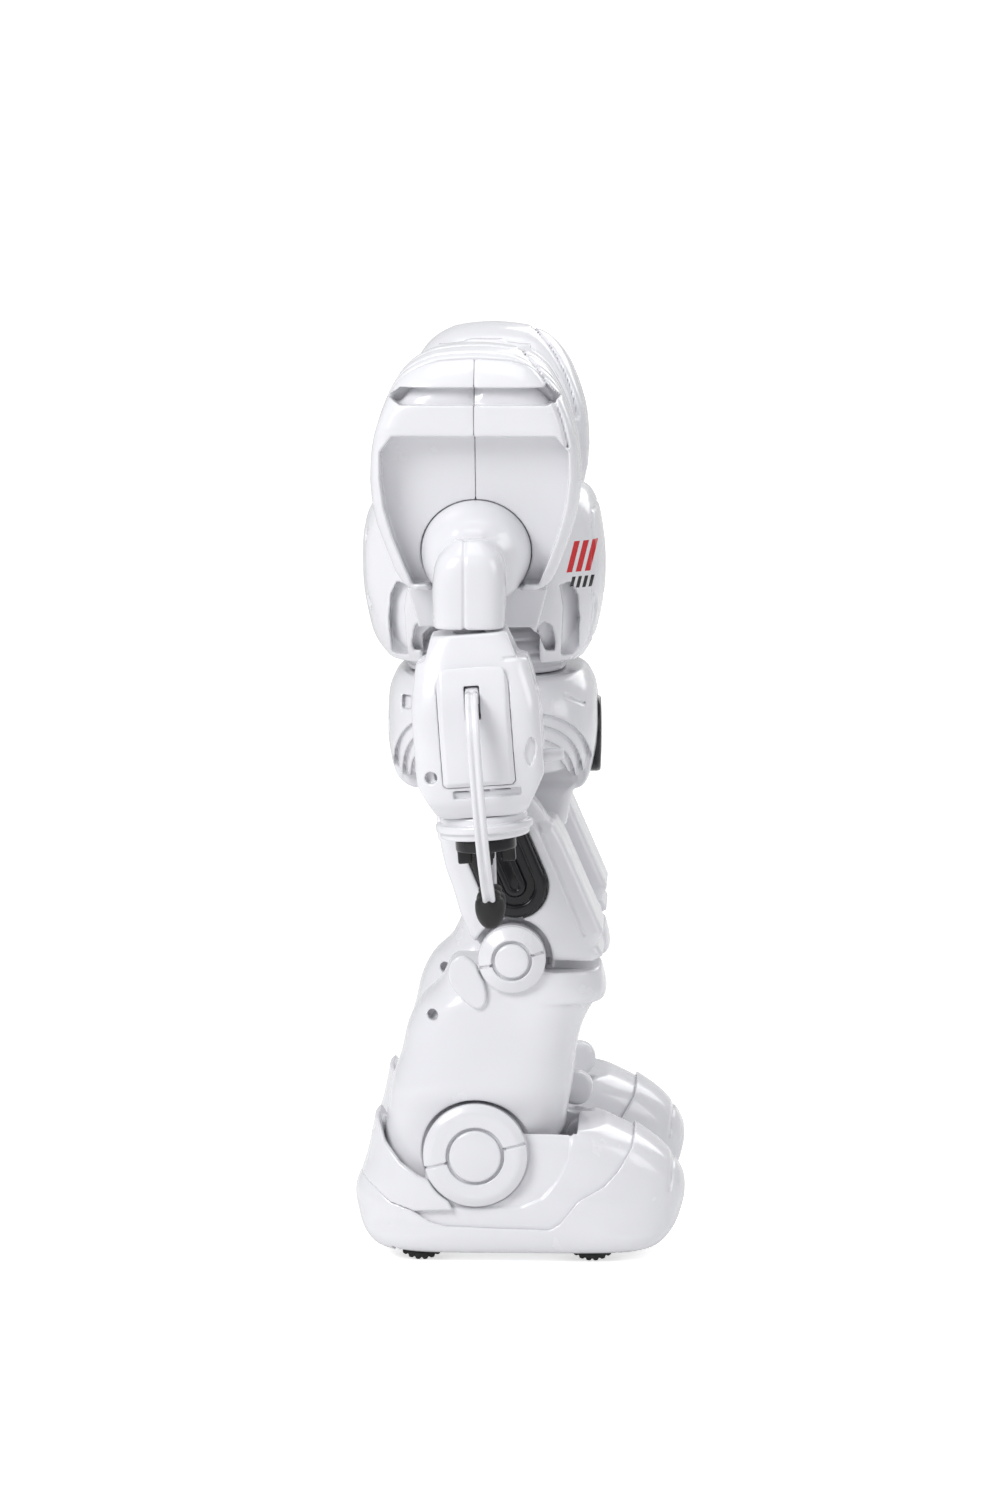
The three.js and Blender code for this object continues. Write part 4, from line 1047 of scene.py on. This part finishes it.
def thigh_panel(g):
    v = g.seen_from(KNEE)
    away = panel_distance(v)
    plate = overlap(away - PANEL_RADIUS, between(v.x, 17.4, 21.4), 1.6)
    plate = cut(plate, overlap(away - 6.4, past(v.x, 19.4)), 0.9)
    plate = union(plate, overlap(away - 3.6, between(v.x, 18, 20.8), 1.2), 0.4)
    return cut(plate, overlap(away - 1.4, past(v.x, 19.8)), 0.5)


# ---------- Shin, measured from the ankle ----------
SHIN = [
    [-13, -31, 10, 17.4, 2.7],
    [-5, -31, 17.8, 18.4, 2.8],
    [4, -30.6, 27.6, 19.3, 2.8],
    [11.5, -29.4, 29.4, 21.6, 2.7],
    [20, -28.2, 31, 24.3, 2.7],
    [30, -25, 32, 24, 2.7],
    [39.7, -22.7, 34.2, 23, 2.8],
    [47, -18.8, 37.8, 22.4, 3],
    [53, -12.7, 41.2, 22, 3.2],
    [60.5, -8.8, 39.8, 22, 3.2],
]
LIP = [[48.6, -1.2, 41.2, 21.8, 3.2], [52, -3.2, 42, 22.2, 3.2], [59.2, -3.2, 40.2, 22, 3.2]]
SHIN_HEM = [
    [-60, -10.2], [-14, -10.2], [2, -6.4], [16.8, -2.6], [22.8, 0.2], [60, 15], [60, -40], [-60, -40],
]
KNEE_FIN = [[-8, 62.5], [-8.6, 57], [-5, 51.5], [0.5, 47.5], [3.4, 50], [3, 56], [0, 62.5], [-4.5, 65]]
FIN_SPAN = [20.7, 23.8]
LIP_CLEARANCE = [-4.6, 13]  # the top of the lip below the knee, and where it starts in front of it
SHIN_SCREW = [-14.0, 44.6]
LUG_RADIUS = 5.6
LUG_SPAN = [-22, -14.6]
SHIN_LUG = [31.8, 14]
KNEE_RADIUS = 10.9
KNUCKLE_RADIUS = 9.6  # the thigh's round end, between the shin's two cheeks
ANKLE_RADIUS = 16.9


def shin(g):
    v = g.seen_from([KNEE[0], ANKLE[1], ANKLE[2]])
    k = g.seen_from(KNEE)
    skin = union(loft(v, SHIN, 1.0), loft(v, LIP, 1.0), 0.8)
    screw = np.hypot(v.f - SHIN_SCREW[0], v.z - SHIN_SCREW[1]) - 1.7
    body = sink(skin, overlap(screw, past(v.out, 12)), 4)
    body = union(body, disc(v, LUG_RADIUS, *LUG_SPAN, 1.6, at=SHIN_LUG), 1.5)
    body = cut(body, polygon(v.f, v.z, SHIN_HEM), 1.0)
    body = cut(body, disc(v, ANKLE_RADIUS + 0.7, 16.4, 46), 0.5)
    body = cut(body, disc(v, ANKLE_RADIUS + 0.7, -44, -16.4), 0.5)
    over_lip = overlap(past(k.z, LIP_CLEARANCE[0]), past(k.f, LIP_CLEARANCE[1]))
    over_sides = overlap(past(k.z, -4.5), past(np.abs(k.x), 13.2))
    body = cut(cut(body, over_lip, 0.6), over_sides, 0.6)
    for x0, x1 in ((13.8, 22), (-22, -14.4)):
        body = union(body, disc(k, KNEE_RADIUS, x0, x1, 1.0), 0.8)
    fin = side_prism(v, curve(KNEE_FIN, 40, closed=True), *FIN_SPAN, 1.0)
    body = union(body, cut(fin, disc(k, KNEE_RADIUS + 0.6, 20, 30)), 0.4)
    body = cut(body, disc(k, KNUCKLE_RADIUS + 1.4, -13.8, 13.2), 0.8)
    body = cut(body, block(k, -13.8, 13.2, -23, 17, -2.5, 30), 0.8)
    body = cut(body, disc(k, 4, -34, 36))
    return cut(body, disc(v, 5.5, -34, 36))


def joint_cover(origin, radius, cap, seat, spindle, inner):
    """A bevelled ring round a raised cap, on a spindle that reaches in to x = inner."""

    def field(g):
        v = g.seen_from(origin)
        r = np.hypot(v.f, v.z)
        turn = np.arctan2(v.z, v.f)
        ring = overlap(r - radius, between(v.x, seat, seat + 4.2), 1.2)
        ring = overlap(ring, (r - radius) * 0.5 + (v.x - seat - radius * 0.16) * 0.87, 0.5)
        ring = cut(ring, overlap(r - cap - 0.9, past(v.x, seat + 2.4)), 0.3)
        spread = np.abs((turn - 0.25 + math.pi / 2) % math.pi - math.pi / 2)
        ring = sink(ring, overlap(spread * r - 0.4, past(r, cap + 0.8)), 0.8, 0.3)
        dome = (r / cap) ** 2 * 1.2
        button = overlap(r - cap + 0.1, between(v.x, seat, seat + 5.2) + dome * 0.5, 0.8)
        return union(union(ring, button), disc(v, spindle, inner, seat + 1))

    return field


# ---------- Foot, measured from the middle of the boot's floor ----------
BOOT = [
    [3, -31.4, 55.4, 24.8, 5],
    [5, -35, 59.5, 26.8, 4.6],
    [8.5, -38, 63, 27.8, 4],
    [13, -39.8, 65.4, 28, 3.2],
    [20, -41, 67, 28, 2.8],
    [26, -39, 66, 27.4, 2.7],
    [33, -34, 61, 27.2, 2.8],
    [39, -24, 53, 26.8, 2.9],
    [44.5, -12, 42, 24.8, 2.9],
]
BUMPER_LINE = [
    [-60, 26], [-38, 25], [-34, 22.6], [-29, 18.6], [-22, 16.6], [-16, 13], [-10.7, 11.6], [23.4, 10.6],
    [27.3, 12.9], [33.1, 20.2], [41.2, 24.6], [46, 29.6], [50.6, 37], [51.6, 41.5], [80, 41.5],
]
LIP_HEIGHT = 0.9  # the base's edge stands this far up round the upper
SECOND_STEP = [[-31, 60], [-26, 27], [-11, 18.6], [13.7, 18.6], [21, 21.8], [25.5, 27], [29, 34], [33, 60]]
CUFF_WALL = 3.2
UPPER_INSET = 1.5  # the upper sits this far inside the base's surface
SOLE_PAD = [-9, 9, 2, 20, 2.6, 6]
CUFF = [
    [16, -40.6, 60, 28, 2.8],
    [24, -39.6, 52, 28, 2.8],
    [32, -37.2, 42, 27.8, 2.7],
    [40, -35.4, 34, 27.2, 2.6],
    [46, -34.4, 30, 26.8, 2.6],
]
CUFF_EDGE = [
    [-60, 45.5], [-33, 45.5], [-30.4, 38.5], [-25, 32.5], [-19.5, 29], [-15.5, 27.5], [-10, 22], [-8, 18],
    [-60, 14],
]
SHIN_ROOM = [[-60, 21], [-12, 21], [2, 25.6], [14, 29.4], [23, 32], [31, 34], [32, 42], [32, 80], [-60, 80]]
SHIN_ROOM_HALF = 20  # half the width of the boot's opening for the shin
FOOT_LUG = [33, 34]
WHEEL_RADIUS = 9.5
WHEEL_SPANS = [(-22, -14), (14, 22)]


def wheel_wells(v):
    wells = np.inf
    for axle in (FRONT_AXLE, REAR_AXLE):
        for x0, x1 in WHEEL_SPANS:
            wells = union(wells, disc(v, WHEEL_RADIUS + 0.9, x0 - 0.6, x1 + 0.6, at=axle[1:]))
    return wells


def foot_base(g):
    v = g.seen_from(FOOT)
    skin = loft(v, BOOT, edge=1.2)
    lower = polygon(v.f, v.z, BUMPER_LINE + [[80, -5], [-60, -5]])
    lip = overlap(overlap(skin, -(skin + 1.3)), lower - LIP_HEIGHT, 0.4)
    body = union(overlap(skin, lower, 0.4), lip)
    body = score(body, v.f - 58.5 - 0.15 * v.z, 0.7, where=past(v.z, 22))
    body = cut(body, wheel_wells(v), 0.5)
    for axle in (FRONT_AXLE, REAR_AXLE):
        body = cut(body, disc(v, 2.3, -25, 24, at=axle[1:]))
    return union(body, block(v, *SOLE_PAD))


def foot_upper(g):
    v = g.seen_from(FOOT)
    leg = g.seen_from([KNEE[0] - 1, 0, 0])
    line = [[f - 0.1, z + 0.1] for f, z in BUMPER_LINE]
    higher = polygon(v.f, v.z, line + [[80, 80], [-60, 80]])
    skin = loft(v, BOOT, edge=1.0)
    body = overlap(skin + UPPER_INSET, higher)
    body = sink(body, overlap(polygon(v.f, v.z, SECOND_STEP), past(v.out, 12)), 0.7, 0.8)
    room = overlap(polygon(v.f, v.z, SHIN_ROOM), np.abs(g.x - KNEE[0]) - SHIN_ROOM_HALF, 0.8)
    body = cut(body, room, 0.5)
    a = g.seen_from([KNEE[0], ANKLE[1], ANKLE[2]])
    body = cut(body, disc(a, LUG_RADIUS + 3.4, LUG_SPAN[0] - 1, LUG_SPAN[1] + 1, at=SHIN_LUG), 0.6)
    cuff = loft(leg, CUFF, edge=0.8, open_ends=True)
    cuff = overlap(cut(cuff, cuff + CUFF_WALL), polygon(v.f, v.z, CUFF_EDGE), 1.0)
    body = union(body, overlap(cuff, higher + LIP_HEIGHT + 0.1), 0.6)
    body = union(body, disc(v, LUG_RADIUS, -20, -12.6, 1.6, at=FOOT_LUG), 0.8)
    body = cut(body, disc(a, ANKLE_RADIUS + 0.5, 22.6, 46))
    for x0, x1 in ((17, 23), (-23, -17)):
        body = union(body, disc(a, ANKLE_RADIUS - 0.4, x0, x1, 0.8), 0.6)
    body = cut(body, disc(a, 5, -34, 46))
    return cut(body, wheel_wells(v))


WHEEL_TEETH = 24


def wheelset(axle):
    def field(g):
        v = g.seen_from(axle)
        r = np.hypot(v.f, v.z)
        turn = np.arctan2(v.z, v.f)
        pitch = 2 * math.pi / WHEEL_TEETH
        tread = np.abs((turn + pitch / 2) % pitch - pitch / 2) * WHEEL_RADIUS - 0.4
        body = disc(v, 2, -21, 21, 0.3)
        for x0, x1 in WHEEL_SPANS:
            wheel = overlap(r - WHEEL_RADIUS, between(v.x, x0, x1), 1.2)
            wheel = sink(wheel, overlap(tread, past(r, 8.4)), 0.6, 0.3)
            dish = overlap(between(r, 3.2, 6.6), past(v.out, 20.6))
            body = union(body, cut(wheel, dish, 0.5))
        return body

    return field


def build_body():
    piece("chest_shell", chest, PRINTED)
    piece("back_shell", back, WHITE)
    piece("battery_door", battery_door, WHITE, 0.5)
    piece("battery_pack", battery_pack, DARK, 0.6)
    piece("main_circuit_board", circuit_board, BOARD, 0.45)
    piece("speaker", speaker, DARK, 0.4)
    piece("shoulder_drive", shoulder_drive, DARK, 0.6)
    piece("neck_post", neck_post, DARK, 0.5)
    piece("head_shell", head, WHITE, 0.6)
    piece("face_visor", visor, BLACK, 0.45)
    pair("eye", eye, EYE, 0.35)
    piece("waist_drum", waist, WHITE)
    piece("pelvis_front_shell", pelvis_front, WHITE, 0.6)
    piece("pelvis_rear_shell", pelvis_rear, WHITE, 0.6)
    piece("belly_ring", belly_ring, BLACK, 0.4)


def build_arms():
    pair("shoulder_housing", pad_housing, WHITE)
    pair("shoulder_cover_front", pad_cover(front_half), WHITE, 0.6)
    pair("shoulder_cover_rear", pad_cover(rear_half), WHITE, 0.6)
    pair("upper_arm", upper_arm, WHITE, 0.5)
    pair("forearm_shell", forearm_shell, WHITE, 0.5)
    pair("forearm_cover", forearm_cover, WHITE, 0.4, margin=7)
    pair("wrist_collar", wrist_collar, WHITE, 0.4)
    pair("hand_hub", hand_hub, BLACK, 0.4)
    pair("release_peg", release_peg, WHITE, 0.35)
    for which, way in (("outer", 1), ("inner", -1)):
        pair(f"{which}_finger", finger(way), WHITE, 0.35)
        pair(f"{which}_fingertip", fingertip(way), RUBBER, 0.35)


def build_legs():
    pair("thigh_shell", thigh, WHITE, 0.6)
    pair("thigh_panel", thigh_panel, BLACK, 0.4)
    pair("shin_shell", shin, WHITE, 0.6, margin=9)
    pair("knee_cap", joint_cover(KNEE, KNEE_RADIUS, 5.6, 22.6, 3.5, -21), WHITE, 0.4)
    pair("foot_base", foot_base, WHITE, 0.65)
    pair("foot_upper", foot_upper, WHITE, 0.6)
    pair("ankle_cap", joint_cover(ANKLE, ANKLE_RADIUS, 8.5, 23.4, 4.7, -24), WHITE, 0.4)
    pair("front_wheelset", wheelset(FRONT_AXLE), RUBBER, 0.45)
    pair("rear_wheelset", wheelset(REAR_AXLE), RUBBER, 0.45)


# ---------- Studio ----------
SWEEP_GLOW_SEEN = 0.65  # the paper looks white to the camera without lighting the robot as much
SWEEP_GLOW = 0.1


def build_floor():
    """A pale floor that curves up into a backdrop behind the robot."""
    bend = [(1.2 + 0.9 * math.sin(t), 0.9 - 0.9 * math.cos(t)) for t in np.linspace(0, math.pi / 2, 13)]
    profile = [(-3.0, 0.0), *bend, (2.1, 3.0)]
    corners = [(x, y, z) for x, z in profile for y in (-4.0, 4.0)]
    faces = [(2 * i, 2 * i + 1, 2 * i + 3, 2 * i + 2) for i in range(len(profile) - 1)]
    mesh = bpy.data.meshes.new("studio_sweep")
    mesh.from_pydata(corners, [], faces)
    mesh.shade_smooth()
    material, tree, body = shade("studio_paper")
    tone = mix(tree, noise(tree, 3.0, 2.0), (0.78, 0.78, 0.78, 1), (0.8, 0.8, 0.8, 1))
    tree.links.new(tone, body.inputs["Base Color"])
    tune(body, {"Roughness": 0.7, "Emission Color": (1, 1, 1, 1)})
    seen = tree.nodes.new("ShaderNodeLightPath").outputs["Is Camera Ray"]
    glow = maths(tree, "MULTIPLY_ADD", seen, SWEEP_GLOW_SEEN - SWEEP_GLOW, SWEEP_GLOW)
    tree.links.new(glow, body.inputs["Emission Strength"])
    mesh.materials.append(material)
    sweep = bpy.data.objects.new("studio_sweep", mesh)
    sweep.location.z = CAD_BOX[0][2]
    bpy.context.scene.collection.objects.link(sweep)


# Soft area lights, in metres and watts: name, place, side and power.
LIGHTS = [
    ["key", (-0.95, 0.8, 0.95), 0.6, 13],
    ["front", (-0.5, -1.3, 0.8), 0.7, 4],
    ["top", (-0.1, 0.0, 1.5), 1.0, 5],
    ["far_side", (1.2, -0.5, 0.9), 0.9, 4.5],
]
LIGHT_TARGET = Vector((0, 0, 0.16))
SKY_STRENGTH = 0.4


def build_lights():
    for name, place, size, watts in LIGHTS:
        lamp = bpy.data.lights.new(name, "AREA")
        lamp.size = size
        lamp.energy = watts
        holder = bpy.data.objects.new(name, lamp)
        holder.location = place
        holder.rotation_euler = (LIGHT_TARGET - Vector(place)).to_track_quat("-Z", "Y").to_euler()
        bpy.context.scene.collection.objects.link(holder)
    world = bpy.data.worlds.new("studio_world")
    world.use_nodes = True
    sky = world.node_tree.nodes["Background"]
    tune(sky, {"Color": (0.96, 0.97, 1.0, 1), "Strength": SKY_STRENGTH})
    bpy.context.scene.world = world
    bpy.context.scene.view_settings.view_transform = "Standard"


CAMERA_DISTANCE = 1.668
CAMERA_RISE = math.radians(7.5)
CAMERA_YAW = math.radians(2.0)


def build_camera():
    """The robot's right side, from a little above and a little in front."""
    lens = bpy.data.cameras.new("side_view")
    lens.lens = 120
    lens.sensor_fit = "VERTICAL"
    lens.sensor_height = 36
    camera = bpy.data.objects.new("side_view", lens)
    target = Vector((0, (AXIS_Y - 4.8) / MM, 0.53 * CAD_BOX[1][2]))
    flat = CAMERA_DISTANCE * math.cos(CAMERA_RISE)
    rise = CAMERA_DISTANCE * math.sin(CAMERA_RISE)
    away = Vector((-flat * math.cos(CAMERA_YAW), -flat * math.sin(CAMERA_YAW), rise))
    camera.location = target + away
    camera.rotation_euler = (-away).to_track_quat("-Z", "Y").to_euler()
    bpy.context.scene.collection.objects.link(camera)
    bpy.context.scene.camera = camera


build_body()
build_arms()
build_legs()
build_floor()
build_lights()
build_camera()
